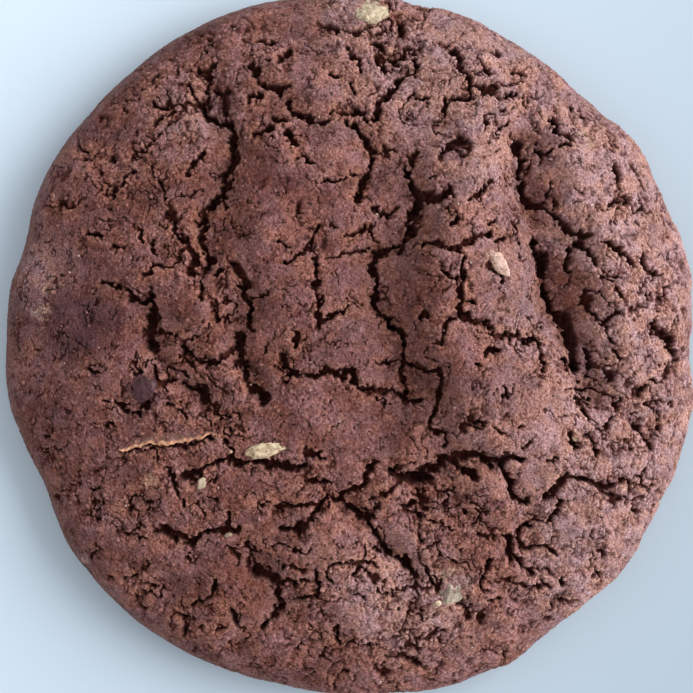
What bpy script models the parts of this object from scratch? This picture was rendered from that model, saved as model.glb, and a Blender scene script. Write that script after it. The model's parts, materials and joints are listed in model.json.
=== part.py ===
"""A chocolate fudge cookie: one thick, domed, soft-baked round with a torn, cracked top and a flat base.

Modelled in metres, +Z up, with the origin at the middle of the flat base.
The sizes below are in millimetres and degrees, and the form is worked out in millimetres.
"""
import itertools
import math

import bmesh
import bpy
import numpy as np
from mathutils import Matrix, Vector

MM = 0.001

# ---------------------------------------------------------------- driving dimensions, in millimetres
MEAN_RADIUS = 43.2
CROWN_HEIGHT = 16.0
WIDEST_HEIGHT = 4.2          # the dome is widest a little above the base
FOOT_INSET = 1.9             # how far the underside's edge lies inside the widest ring
DOME_POWER = 2.7             # 2 is an ellipse, more is a flatter top with a steeper rim

# ---------------------------------------------------------------- the uneven outline
# angle from +X and half-width in degrees, height of the swell in millimetres
SWELLS = {
    "upper left": (112, 20, 1.0),
    "left shoulder": (146, 8, 0.35),
    "left dent": (163, 5, -0.8),
    "left": (176, 9, -0.3),
    "lower left dent": (203, 9, -1.3),
    "foot of the left": (238, 12, 0.2),
    "bottom": (290, 13, 1.1),
    "lower right": (319, 7, 0.4),
    "right": (-3, 12, -0.5),
    "right shoulder": (30, 8, 0.3),
    "upper right dent": (49, 6, -0.5),
    "top right": (70, 8, 0.2),
}

# ---------------------------------------------------------------- the torn top
RELIEF_TOP = 9.0             # above this height the crust is fully torn
RELIEF_FOOT = 3.0            # below this height it is smooth
SMOOTH_RIM = 0.22            # share of the relief that is left on the rim band
SWELL_HEIGHT = 0.7           # broad swells of the dome
SWELL_SIZE = 17.0
LUMP_HEIGHT = 0.6            # lumps of dough on the swells
LUMP_SIZE = 6.0
PLATE_SIZE = 8.0             # the crust breaks into plates about this wide
PLATE_STEP = 0.35            # neighbouring plates stand this much higher or lower
PLATE_GAP = 1.5              # how far apart the two plates' middles count as equally near, across a gap
PLATE_GAP_DEPTH = 1.0
CRUMB_SIZE = 3.2             # the plates' own skin is lumpy
CRUMB_HEIGHT = 0.42
PILLOW_REACH = 1.6           # the crust sinks towards a crack from this far out
PILLOW_DEPTH = 0.45
WANDER = 0.5                 # how far a crack strays from its route
WANDER_SIZE = 2.4

# name: width, depth, and the route's turning points (x, y)
CRACKS = {
    "left, upper": (1.2, 2.6, [(-20, 32.2), (-18.2, 29.2), (-15.4, 28.2), (-14.9, 23), (-16, 18.8), (-19, 15)]),
    "left, lower": (0.9, 2.0, [(-24.4, 22.6), (-23, 17), (-20.6, 12), (-20.4, 8.8)]),
    "left of centre": (1.1, 2.4, [(-30.6, 8), (-26.4, 5.4), (-24.6, 3), (-24.4, -2.4), (-20.8, -5), (-17.8, -6)]),
    "centre, left": (1.1, 2.4, [(-14, 7.6), (-12.4, 2.4), (-13.8, -0.4), (-10, -6.4)]),
    "across the centre": (1.0, 2.2, [(-7, -3.4), (-2.8, -3), (1.6, -5), (8.8, -6.8)]),
    "centre": (1.1, 2.6, [(8.4, 18.2), (7.8, 14.2), (4, 11.8), (3, 6), (6.8, -1.8), (7.4, -6)]),
    "above the centre": (1.1, 2.6, [(6.8, 22), (8.2, 19), (10.2, 18.4), (13.2, 19.8)]),
    "top": (1.1, 2.4, [(6.2, 33.2), (0.6, 29), (2.5, 24.4), (0.6, 18.2)]),
    "upper right": (1.1, 2.2, [(12.5, 36.6), (15.4, 32.4), (11.8, 28.8)]),
    "right, upper": (1.3, 3.0, [(21.2, 26), (20.8, 22), (24.4, 17), (30, 13.8)]),
    "right, lower": (1.6, 2.8, [(23.5, 12.8), (24.4, 7.6), (27.6, 2.4), (28.2, -2.8)]),
    "right of centre": (0.9, 2.0, [(13.4, 12), (13.2, 6.8), (16.6, 2.8), (23.8, 0.4)]),
    "beside the nut": (1.1, 2.6, [(-20.6, -16.2), (-17, -14.4), (-10, -15), (-6.8, -14.4)]),
    "lower left": (1.1, 2.4, [(-24.4, -23), (-21.2, -24), (-13.8, -23)]),
    "lower centre": (1.2, 2.6, [(-7.4, -23.4), (-1.2, -19.2), (2.6, -23.4), (7.6, -28.8)]),
    "lower right": (1.3, 2.8, [(6.2, -15.8), (9, -16.8), (16, -13.2), (20, -14.8), (22.6, -21), (21.4, -24)]),
    "right, bottom": (0.9, 1.8, [(24, -19.4), (27.4, -16.6), (34, -17)]),
}

# ---------------------------------------------------------------- what is baked into the crust
# name: place (x, y), length, width, height, turn about Z in degrees, and how much of its height stands out
BAKED_IN = {
    "nut sliver": (-10.3, -12.9, 4.8, 1.5, 1.3, 6, 0.45),
    "nut on the right plate": (18.5, 8.2, 3.4, 1.2, 1.2, -52, 0.35),
    "nut at the top edge": (2.4, 42.0, 3.4, 2.4, 2.0, 10, 0.35),
    "nut lump, lower right": (12.6, -31.0, 3.0, 2.8, 1.8, 20, 0.40),
    "chocolate chunk": (-25.9, -5.5, 2.9, 2.5, 1.8, 35, 0.40),
    "flake of crust": (-22.8, -12.3, 11.6, 0.8, 1.2, 6, 0.45),
}

# ---------------------------------------------------------------- fineness of the mesh
SPHERE_CUTS = 8              # the round that the form is pulled from
PROFILE_STEPS = 400
TRIANGLES = 10500
LATTICE = 64                 # random values per side of a noise block
SEED = 4210


def clear_scene():
    """Take every object out of the scene."""
    for old in list(bpy.data.objects):
        bpy.data.objects.remove(old, do_unlink=True)


def ease(value, low, high):
    """0 below low, 1 above high, and a smooth rise between them."""
    share = np.clip((value - low) / (high - low), 0.0, 1.0)
    return share * share * (3.0 - 2.0 * share)


# ---------------------------------------------------------------- noise
def noise(points, size, seed):
    """Smooth random values from -1 to 1 that change over about one size."""
    random = np.random.default_rng(SEED + seed)
    lattice = random.uniform(-1.0, 1.0, (LATTICE, LATTICE, LATTICE))
    place = points / size
    home = np.floor(place).astype(int)
    part = place - home
    part = part * part * (3.0 - 2.0 * part)
    total = np.zeros(len(points))
    for corner in itertools.product((0, 1), repeat=3):
        weight = np.prod(np.where(np.array(corner) == 1, part, 1.0 - part), axis=1)
        i, j, k = ((home + corner) % LATTICE).T
        total += weight * lattice[i, j, k]
    return total


def cells(points, size, seed):
    """Distances to the nearest two of the seeds scattered one to a cell, and the nearest seed's own value."""
    random = np.random.default_rng(SEED + seed)
    scatter = random.uniform(0.0, 1.0, (LATTICE, LATTICE, LATTICE, 3))
    values = random.uniform(-1.0, 1.0, (LATTICE, LATTICE, LATTICE))
    place = points / size
    home = np.floor(place).astype(int)
    first = np.full(len(points), 9.0)
    second = np.full(len(points), 9.0)
    value = np.zeros(len(points))
    for step in itertools.product((-1, 0, 1), repeat=3):
        cell = home + step
        i, j, k = (cell % LATTICE).T
        distance = np.linalg.norm(cell + scatter[i, j, k] - place, axis=1)
        closer = distance < first
        second = np.where(closer, first, np.minimum(second, distance))
        value = np.where(closer, values[i, j, k], value)
        first = np.where(closer, distance, first)
    return first * size, second * size, value


# ---------------------------------------------------------------- the plain round
def profile():
    """Radius and height from the crown, down the rim and under the foot to the middle of the base."""
    turn = np.linspace(0.0, math.pi / 2, PROFILE_STEPS)
    dome_radius = MEAN_RADIUS * np.sin(turn) ** (2.0 / DOME_POWER)
    dome_height = WIDEST_HEIGHT + (CROWN_HEIGHT - WIDEST_HEIGHT) * np.cos(turn)
    foot_radius = MEAN_RADIUS - FOOT_INSET * (1.0 - np.cos(turn))
    foot_height = WIDEST_HEIGHT * (1.0 - np.sin(turn))
    base_radius = np.linspace(foot_radius[-1], 0.0, PROFILE_STEPS)
    base_height = np.zeros(PROFILE_STEPS)
    radius = np.concatenate([dome_radius, foot_radius[1:], base_radius[1:]])
    height = np.concatenate([dome_height, foot_height[1:], base_height[1:]])
    return radius, height


def outline(angle):
    """Radius of the widest ring over the mean one, at an angle in degrees."""
    radius = np.full(len(angle), MEAN_RADIUS)
    for centre, half_width, swell in SWELLS.values():
        away = (angle - centre + 180.0) % 360.0 - 180.0
        radius += swell * np.exp(-((away / half_width) ** 2))
    return radius / MEAN_RADIUS


def plain_round(directions):
    """Pull a unit sphere's points to the cookie's round, each taking an equal share of its surface."""
    radius, height = profile()
    step = np.hypot(np.diff(radius), np.diff(height))
    area = np.concatenate([[0.0], np.cumsum(step * (radius[1:] + radius[:-1]))])
    share = (1.0 - directions[:, 2]) / 2.0
    ring = np.interp(share, area / area[-1], radius)
    level = np.interp(share, area / area[-1], height)
    angle = np.arctan2(directions[:, 1], directions[:, 0])
    ring = ring * outline(np.degrees(angle))
    return np.column_stack([ring * np.cos(angle), ring * np.sin(angle), level])


# ---------------------------------------------------------------- the torn top
def route_distance(points, route):
    """Distance in plan from each point to a route of straight runs."""
    nearest = np.full(len(points), 99.0)
    for start, end in zip(route[:-1], route[1:]):
        start = np.array(start)
        run = np.array(end) - start
        along = np.clip((points - start) @ run / (run @ run), 0.0, 1.0)
        nearest = np.minimum(nearest, np.linalg.norm(points - start - along[:, None] * run, axis=1))
    return nearest


def groove(distance, width, depth):
    """A crack's depth at a distance from its middle line: steep torn walls and a narrow floor."""
    return depth * (1.0 - ease(distance, 0.15 * width, 0.65 * width))


def strayed(points):
    """The points moved a little about, so that straight routes and gaps come out torn."""
    moves = [noise(points, WANDER_SIZE, seed) for seed in (1, 2, 9)]
    return points + WANDER * np.column_stack(moves)


def relief(points):
    """Height of the torn crust over the plain round, in millimetres."""
    height = SWELL_HEIGHT * noise(points, SWELL_SIZE, 3)
    height += LUMP_HEIGHT * noise(points, LUMP_SIZE, 4)
    torn = strayed(points)
    near, next_near, step = cells(torn, PLATE_SIZE, 5)
    height += PLATE_STEP * step
    present = ease(noise(points, 1.5 * PLATE_SIZE, 6), -0.6, 0.1)
    gaps = present * groove(next_near - near, PLATE_GAP, PLATE_GAP_DEPTH)
    near, _next_near, _step = cells(torn, CRUMB_SIZE, 7)
    crumbly = ease(noise(points, 2.0 * PLATE_SIZE, 8), -0.7, 0.4)
    height += CRUMB_HEIGHT * crumbly * (1.0 - 2.0 * near / CRUMB_SIZE)
    for width, depth, route in CRACKS.values():
        distance = route_distance(torn[:, :2], route)
        gaps = np.maximum(gaps, groove(distance, width, depth))
        height -= PILLOW_DEPTH * np.exp(-distance / PILLOW_REACH)
    height -= gaps
    rim = SMOOTH_RIM + (1.0 - SMOOTH_RIM) * ease(points[:, 2], 0.6 * RELIEF_TOP, RELIEF_TOP)
    return height * rim * ease(points[:, 2], 0.3 * RELIEF_FOOT, RELIEF_FOOT)


def torn_round():
    """The cookie's own body: the plain round moved in and out along its normals by the relief."""
    form = bmesh.new()
    bmesh.ops.create_icosphere(form, subdivisions=SPHERE_CUTS, radius=1.0)
    mesh = bpy.data.meshes.new("cookie")
    form.to_mesh(mesh)
    form.free()
    count = len(mesh.vertices)
    flat = np.empty(count * 3)
    mesh.vertices.foreach_get("co", flat)
    points = plain_round(flat.reshape(count, 3))
    mesh.vertices.foreach_set("co", points.ravel())
    mesh.update()
    normals = np.empty(count * 3)
    mesh.vertex_normals.foreach_get("vector", normals)
    points += normals.reshape(count, 3) * relief(points)[:, None]
    points[:, 2] = np.maximum(points[:, 2], 0.0)
    mesh.vertices.foreach_set("co", points.ravel() * MM)
    mesh.update()
    return mesh


def applied(thing):
    """The object's mesh with its modifiers worked in."""
    graph = bpy.context.evaluated_depsgraph_get()
    mesh = bpy.data.meshes.new_from_object(thing.evaluated_get(graph))
    thing.modifiers.clear()
    old = thing.data
    thing.data = mesh
    bpy.data.meshes.remove(old)


# ---------------------------------------------------------------- what is baked in
def dome_normal(x, y):
    """The way the plain dome faces at a place given in plan."""
    share = min(math.hypot(x, y) / MEAN_RADIUS, 0.98)
    rise = (CROWN_HEIGHT - WIDEST_HEIGHT) / MEAN_RADIUS
    fall = 0.5 * rise * DOME_POWER * share ** (DOME_POWER - 1) / math.sqrt(1.0 - share ** DOME_POWER)
    return Vector((fall * x, fall * y, math.hypot(x, y))).normalized()


def baked_in_piece(name, cookie, x, y, length, width, height, turn, standing_out):
    """A rounded lump half sunk in the crust at a place given in plan, leaning as the dome does there."""
    hit, surface, _normal, _face = cookie.ray_cast(Vector((x, y, 2 * CROWN_HEIGHT)) * MM, Vector((0, 0, -1)))
    if not hit:
        raise ValueError(f"{name} lies off the cookie")
    up = dome_normal(x, y)
    form = bmesh.new()
    bmesh.ops.create_icosphere(form, subdivisions=2, radius=0.5)
    bmesh.ops.scale(form, vec=Vector((length, width, height)) * MM, verts=form.verts)
    lean = Vector((0, 0, 1)).rotation_difference(up).to_matrix().to_4x4()
    turned = lean @ Matrix.Rotation(math.radians(turn), 4, "Z")
    lift = up * ((standing_out - 0.5) * height * MM)
    bmesh.ops.transform(form, matrix=Matrix.Translation(surface + lift) @ turned, verts=form.verts)
    mesh = bpy.data.meshes.new(name)
    form.to_mesh(mesh)
    form.free()
    return bpy.data.objects.new(name, mesh)


def keep_largest_body(mesh):
    """Drop loose scraps and the walls of sealed hollows, which fills them."""
    form = bmesh.new()
    form.from_mesh(mesh)
    unseen = set(form.faces)
    bodies = []
    while unseen:
        body = [unseen.pop()]
        for face in body:
            for edge in face.edges:
                for neighbour in edge.link_faces:
                    if neighbour in unseen:
                        unseen.remove(neighbour)
                        body.append(neighbour)
        bodies.append(body)
    bodies.sort(key=len)
    for scrap in bodies[:-1]:
        bmesh.ops.delete(form, geom=scrap, context="FACES")
    form.to_mesh(mesh)
    form.free()
    print(f"bodies joined or dropped: {len(bodies) - 1}")


def fuse_baked_in(cookie):
    """Join the nut pieces, the chunk and the flake to the body in one union."""
    group = bpy.data.collections.new("baked in")
    bpy.context.scene.collection.children.link(group)
    for name, sizes in BAKED_IN.items():
        group.objects.link(baked_in_piece(name, cookie, *sizes))
    union = cookie.modifiers.new("baked in", "BOOLEAN")
    union.operation = "UNION"
    union.operand_type = "COLLECTION"
    union.collection = group
    union.solver = "EXACT"
    applied(cookie)
    for piece in list(group.objects):
        bpy.data.objects.remove(piece, do_unlink=True)
    bpy.data.collections.remove(group)
    keep_largest_body(cookie.data)


# ---------------------------------------------------------------- finish
def baked_crumb():
    """Baked cocoa dough, dull and dark brown."""
    material = bpy.data.materials.new("baked cocoa crumb")
    material.use_nodes = True
    shader = material.node_tree.nodes["Principled BSDF"]
    shader.inputs["Base Color"].default_value = (0.155, 0.070, 0.060, 1.0)
    shader.inputs["Roughness"].default_value = 0.85
    shader.inputs["Metallic"].default_value = 0.0
    return material


def build():
    """Make the cookie: body, fewer triangles, then the pieces baked into it."""
    clear_scene()
    cookie = bpy.data.objects.new("cookie", torn_round())
    bpy.context.scene.collection.objects.link(cookie)
    fewer = cookie.modifiers.new("fewer triangles", "DECIMATE")
    fewer.decimate_type = "COLLAPSE"
    fewer.ratio = TRIANGLES / len(cookie.data.polygons)
    applied(cookie)
    fuse_baked_in(cookie)
    cookie.data.materials.clear()
    cookie.data.materials.append(baked_crumb())
    cookie.data.shade_smooth()
    cookie.data.set_sharp_from_angle(angle=math.radians(50))
    size = cookie.dimensions / MM
    print(f"cookie: {size.x:.1f} x {size.y:.1f} x {size.z:.1f} mm, {len(cookie.data.polygons)} faces")


build()
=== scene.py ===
# %% [markdown]
# # A chocolate fudge cookie
# A thick, soft-baked cookie, 87 mm across and seen from straight above. While it bakes, its crust
# dries first and tears as the dough below still rises, so the top is a field of plates with deep dark
# cracks between them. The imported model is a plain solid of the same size. This lesson makes what
# stands in for it: the crust, the crumbs that break off it, the nut pieces and chocolate baked into
# it, and a finish for each of them.

# %% Load the frame
import itertools
import json
import math

import bmesh
import bpy
import numpy as np
from mathutils import Matrix, Vector

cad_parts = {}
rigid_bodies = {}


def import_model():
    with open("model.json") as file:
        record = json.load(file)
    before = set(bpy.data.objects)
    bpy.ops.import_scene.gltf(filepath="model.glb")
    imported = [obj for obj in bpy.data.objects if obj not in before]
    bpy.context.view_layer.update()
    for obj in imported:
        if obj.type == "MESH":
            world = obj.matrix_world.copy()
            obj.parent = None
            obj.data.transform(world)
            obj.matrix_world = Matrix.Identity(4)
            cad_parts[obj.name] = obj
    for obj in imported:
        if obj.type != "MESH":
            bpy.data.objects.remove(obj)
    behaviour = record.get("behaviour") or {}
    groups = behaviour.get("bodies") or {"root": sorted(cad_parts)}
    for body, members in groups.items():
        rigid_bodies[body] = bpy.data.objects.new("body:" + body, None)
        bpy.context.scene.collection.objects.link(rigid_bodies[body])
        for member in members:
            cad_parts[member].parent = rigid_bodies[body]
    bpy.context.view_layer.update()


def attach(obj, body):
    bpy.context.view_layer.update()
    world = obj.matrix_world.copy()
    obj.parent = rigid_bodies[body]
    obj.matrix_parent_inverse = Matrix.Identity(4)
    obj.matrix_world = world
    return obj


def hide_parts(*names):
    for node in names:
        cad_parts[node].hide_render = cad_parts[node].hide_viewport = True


for left_over in list(bpy.data.objects):
    bpy.data.objects.remove(left_over, do_unlink=True)
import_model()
MM = 0.001

# %% [markdown]
# ## Where things are
# The photograph looks straight down. Eight of its pixels are one millimetre at the height where the
# cookie is widest, and what stands nearer the camera looks larger. So a place that is read off the
# photograph is drawn in a little towards the middle, by how high the dome stands there. The dome's
# crown is lower than the cookie's, because the ridges of the crust stand on it.

# %% Sizes in millimetres and the way from the photograph to the plan
MEAN_RADIUS = 43.2
CROWN_HEIGHT = 13.7
WIDEST_HEIGHT = 4.2
FOOT_INSET = 1.9
DOME_POWER = 2.7
CAMERA_HEIGHT = 300.0
PX_PER_MM = 8.0
CENTRE_PX = (350.0, 346.0)
PHOTO_SIDE_PX = 693


def dome_height(radius):
    """Height of the plain dome at a distance from its middle."""
    share = np.minimum(np.asarray(radius, dtype=float) / MEAN_RADIUS, 1.0)
    return WIDEST_HEIGHT + (CROWN_HEIGHT - WIDEST_HEIGHT) * np.sqrt(1.0 - share ** DOME_POWER)


def plan(place_px):
    """A place in the photograph's pixels as millimetres in plan on the dome."""
    seen = (np.asarray(place_px, dtype=float) - CENTRE_PX) / PX_PER_MM * (1.0, -1.0)
    height = dome_height(np.hypot(*seen))
    return seen * (CAMERA_HEIGHT - height) / (CAMERA_HEIGHT - WIDEST_HEIGHT)


print("the photograph's middle lies at", plan((PHOTO_SIDE_PX / 2, PHOTO_SIDE_PX / 2)).round(2), "mm")

# %% [markdown]
# ## Noise
# Dough is uneven at every size, from broad swells to single grains. One smooth noise covers all of
# that. It changes over about one size in millimetres, its values are mostly between -2 and 2, and
# every seed has its own turn and place in the lattice. Where the noise crosses zero it draws thin,
# wandering lines, which serve for hairline cracks and for the creases between crumbs. Below, a layer
# of noise is always given by its size, its amount and its seed.

# %% Smooth noise
SEED = 4210
LAYER_SEED = 200
LATTICE = 64
SPREAD = 0.27
SLOPES = np.random.default_rng(SEED).normal(size=(LATTICE ** 3, 3)).astype(np.float32)
SLOPES /= np.linalg.norm(SLOPES, axis=1)[:, None]


def ease(value, start, end):
    """0 before start, 1 after end, and a smooth rise between them."""
    share = np.clip((value - start) / (end - start), 0.0, 1.0)
    return share * share * (3.0 - 2.0 * share)


def noise(points, size, seed):
    """Smooth random values that change over about one size."""
    random = np.random.default_rng(SEED + seed)
    turn = np.linalg.qr(random.normal(size=(3, 3)))[0]
    place = points @ turn / size + random.uniform(0.0, LATTICE, 3)
    home = np.floor(place).astype(np.int32)
    part = (place - home).astype(np.float32)
    fade = part ** 3 * (part * (part * 6.0 - 15.0) + 10.0)
    both = (1.0 - fade, fade)
    total = np.zeros(len(points), dtype=np.float32)
    for corner in itertools.product((0, 1), repeat=3):
        x, y, z = ((home + corner) % LATTICE).T
        slope = SLOPES[(x * LATTICE + y) * LATTICE + z]
        rise = np.einsum("ij,ij->i", slope, part - np.array(corner, dtype=np.float32))
        total += both[corner[0]][:, 0] * both[corner[1]][:, 1] * both[corner[2]][:, 2] * rise
    return total / SPREAD


def rough_noise(points, size, seed, layers, keep=0.5):
    """Noise with finer and weaker noise on it."""
    return sum(keep ** i * noise(points, size / 2 ** i, seed + LAYER_SEED * i) for i in range(layers))


def varied(value, points, layers):
    """A value with layers of noise on it."""
    for size, amount, seed in layers:
        value = value + amount * noise(points, size, seed)
    return value


def shifted(points, layers):
    """The points moved about in space by layers of noise."""
    moved = points.copy()
    for size, amount, seed in layers:
        moved += amount * np.column_stack([noise(points, size, seed + axis) for axis in range(3)])
    return moved


print("smooth noise over", LATTICE, "cells a side")

# %% [markdown]
# ## The plain round
# Under its cracks the cookie is a dome with a steep, rounded rim, a tucked-in foot and a flat base.
# The points of a sphere are pulled to that form, and every ring keeps the same share of the surface
# as it had on the sphere, so that the triangles stay even in size. The flat base shows nothing and
# gets half as many. The outline isn't a circle: it swells and dents where the dough met the tray. Each
# swell has an angle from +X and half a width, in degrees, and a size in millimetres.

# %% Profile, outline and the way from a sphere to the round
SWELLS = {
    "upper left": (112, 20, 1.0),
    "left shoulder": (146, 8, 0.35),
    "left dent": (163, 5, -0.8),
    "left": (176, 9, -0.3),
    "lower left dent": (203, 9, -1.3),
    "foot of the left": (238, 12, 0.2),
    "bottom": (290, 13, 1.1),
    "lower right": (320, 14, 0.5),
    "right": (1, 13, -0.55),
    "right shoulder": (29, 7, 0.15),
    "upper right dent": (49, 6, -0.5),
    "top right": (70, 8, 0.2),
}
BASE_DENSITY = 0.5
PROFILE_STEPS = 600
BASE_FROM = 2 * PROFILE_STEPS - 2
TURN = np.linspace(0.0, math.pi / 2, PROFILE_STEPS)
DOME_RADIUS = MEAN_RADIUS * np.sin(TURN) ** (2.0 / DOME_POWER)
DOME_LEVEL = WIDEST_HEIGHT + (CROWN_HEIGHT - WIDEST_HEIGHT) * np.cos(TURN)
FOOT_RADIUS = MEAN_RADIUS - FOOT_INSET * (1.0 - np.cos(TURN))
FOOT_LEVEL = WIDEST_HEIGHT * (1.0 - np.sin(TURN))
BASE_RADIUS = np.linspace(FOOT_RADIUS[-1], 0.0, PROFILE_STEPS)
RING = np.concatenate([DOME_RADIUS, FOOT_RADIUS[1:], BASE_RADIUS[1:]])
LEVEL = np.concatenate([DOME_LEVEL, FOOT_LEVEL[1:], np.zeros(PROFILE_STEPS - 1)])
STEP = np.hypot(np.diff(RING), np.diff(LEVEL))
LENGTH = np.concatenate([[0.0], np.cumsum(STEP)])
DENSITY = np.where(np.arange(len(STEP)) < BASE_FROM, 1.0, BASE_DENSITY)
AREA = np.concatenate([[0.0], np.cumsum(DENSITY * STEP * (RING[1:] + RING[:-1]))])
AREA /= AREA[-1]
BASE_SHARE = AREA[BASE_FROM]


def outline(degrees):
    """The widest ring's radius over the mean one, at an angle from +X."""
    radius = np.full(len(degrees), MEAN_RADIUS)
    for centre, half_width, swell in SWELLS.values():
        away = (degrees - centre + 180.0) % 360.0 - 180.0
        radius += swell * np.exp(-((away / half_width) ** 2))
    return radius / MEAN_RADIUS


def plain_round(directions):
    """Places on the plain cookie for a unit sphere's points."""
    share = (1.0 - directions[:, 2]) / 2.0
    angle = np.arctan2(directions[:, 1], directions[:, 0])
    ring = np.interp(share, AREA, RING) * outline(np.degrees(angle))
    return np.column_stack([ring * np.cos(angle), ring * np.sin(angle), np.interp(share, AREA, LEVEL)])


print("share of the points above the base:", round(float(BASE_SHARE), 2))

# %% [markdown]
# ### Which way is out
# The relief acts square to the surface, so every place needs its normal. It is measured: two short
# steps across the sphere show how the surface runs there, and the normal stands square to both.

# %% Normals of the round
NUDGE = 0.002
ASIDE = (0.31, 0.59, 0.74)


def round_normals(directions):
    """Directions that stand square on the plain cookie."""
    side = np.cross(directions, ASIDE)
    side /= np.linalg.norm(side, axis=1)[:, None]
    other = np.cross(directions, side)

    def slope(way):
        """How the surface runs one way from each place."""
        ends = [directions + sign * NUDGE * way for sign in (1.0, -1.0)]
        places = [plain_round(end / np.linalg.norm(end, axis=1)[:, None]) for end in ends]
        return places[0] - places[1]

    normals = np.cross(slope(side), slope(other))
    return normals / np.linalg.norm(normals, axis=1)[:, None]


print("the crown's normal:", round_normals(np.array([(0.0, 0.0, 1.0)]))[0].round(3))

# %% [markdown]
# ## Cracks
# Each crack is a route traced over the photograph, in its pixels, with a width in pixels. The
# routes are only a few straight runs each: noise then moves every place sideways before its distance
# to a route is measured, which tears the walls, and widens and narrows the gap along the way.

# %% Routes of the cracks, left
CRACKS = {
    "left rift": [
        (7.5, [(190, 88), (195, 97), (199, 106), (206, 115), (218, 119), (226, 119), (230, 128), (230, 138),
               (229, 148), (233, 158), (230, 168), (224, 175), (226, 184), (222, 197), (212, 205),
               (204, 213), (198, 226)]),
        (4, [(222, 95), (224, 103), (227, 112), (227, 119)]),
        (4.5, [(212, 89), (217, 92), (222, 95), (232, 93)]),
        (5, [(206, 150), (204, 157), (198, 161), (193, 163)]),
        (4, [(192, 166), (190, 173)]),
        (3, [(154, 162), (157, 173), (161, 188), (165, 199)]),
        (5.5, [(163, 213), (170, 217), (174, 224), (177, 232), (183, 240), (188, 250), (190, 262),
               (187, 272), (196, 275)]),
        (5, [(205, 230), (203, 243), (206, 254), (203, 266), (201, 280), (201, 292), (199, 299)]),
        (5.5, [(204, 259), (212, 264)]),
        (3, [(216, 275), (224, 274)]),
        (3, [(222, 197), (228, 207)]),
    ],
    "upper left": [
        (3.5, [(201, 69), (209, 73), (215, 69)]),
        (3.5, [(210, 73), (211, 79)]),
        (4.5, [(133, 175), (127, 181), (121, 187), (116, 189)]),
        (5, [(107, 186), (110, 193), (112, 198)]),
        (4.5, [(151, 102), (155, 107), (161, 109), (165, 106)]),
        (3.5, [(172, 108), (168, 116), (160, 121), (154, 127)]),
        (3, [(154, 78), (160, 75)]),
        (3, [(177, 74), (180, 69)]),
        (2.5, [(81, 144), (86, 152)]),
        (3, [(108, 157), (112, 162)]),
        (4, [(90, 235), (101, 237)]),
        (2, [(62, 205), (74, 204)]),
        (3, [(139, 230), (143, 240)]),
        (3, [(153, 242), (156, 252)]),
        (3, [(114, 244), (120, 250)]),
    ],
    "left of centre": [
        (3.5, [(102, 282), (110, 288), (120, 292)]),
        (6, [(128, 293), (132, 298), (140, 302), (149, 300)]),
        (7.5, [(152, 292), (150, 303), (149, 312), (152, 322), (150, 332), (152, 344), (155, 354)]),
        (4, [(155, 366), (158, 374), (161, 381), (167, 384), (175, 382)]),
        (4, [(168, 384), (170, 391)]),
        (4, [(183, 383), (192, 390), (200, 390), (206, 396), (208, 404)]),
        (4.5, [(183, 348), (192, 352), (200, 358)]),
        (6, [(200, 358), (210, 362), (218, 360)]),
        (4, [(218, 360), (223, 354), (232, 351), (237, 346)]),
        (2.5, [(146, 276), (157, 269)]),
        (3, [(156, 266), (166, 264), (176, 261)]),
        (3.5, [(213, 301), (216, 310), (218, 319)]),
        (2, [(204, 320), (202, 333), (197, 337)]),
        (3, [(160, 332), (178, 334)]),
        (3, [(89, 372), (97, 374)]),
    ],
    "round the chocolate": [
        (5, [(108, 400), (116, 403), (123, 408)]),
        (4, [(123, 410), (128, 416), (138, 415)]),
        (3.5, [(157, 385), (152, 393), (148, 400)]),
        (5.5, [(147, 402), (142, 409)]),
        (4, [(132, 372), (138, 366)]),
        (3.5, [(166, 406), (176, 410), (184, 415)]),
        (2.5, [(200, 412), (208, 412)]),
        (3, [(214, 416), (220, 418), (230, 417)]),
        (3, [(234, 410), (241, 414)]),
        (2.5, [(104, 424), (113, 423)]),
    ],
}
print("cracks so far:", sum(len(routes) for routes in CRACKS.values()))

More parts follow.
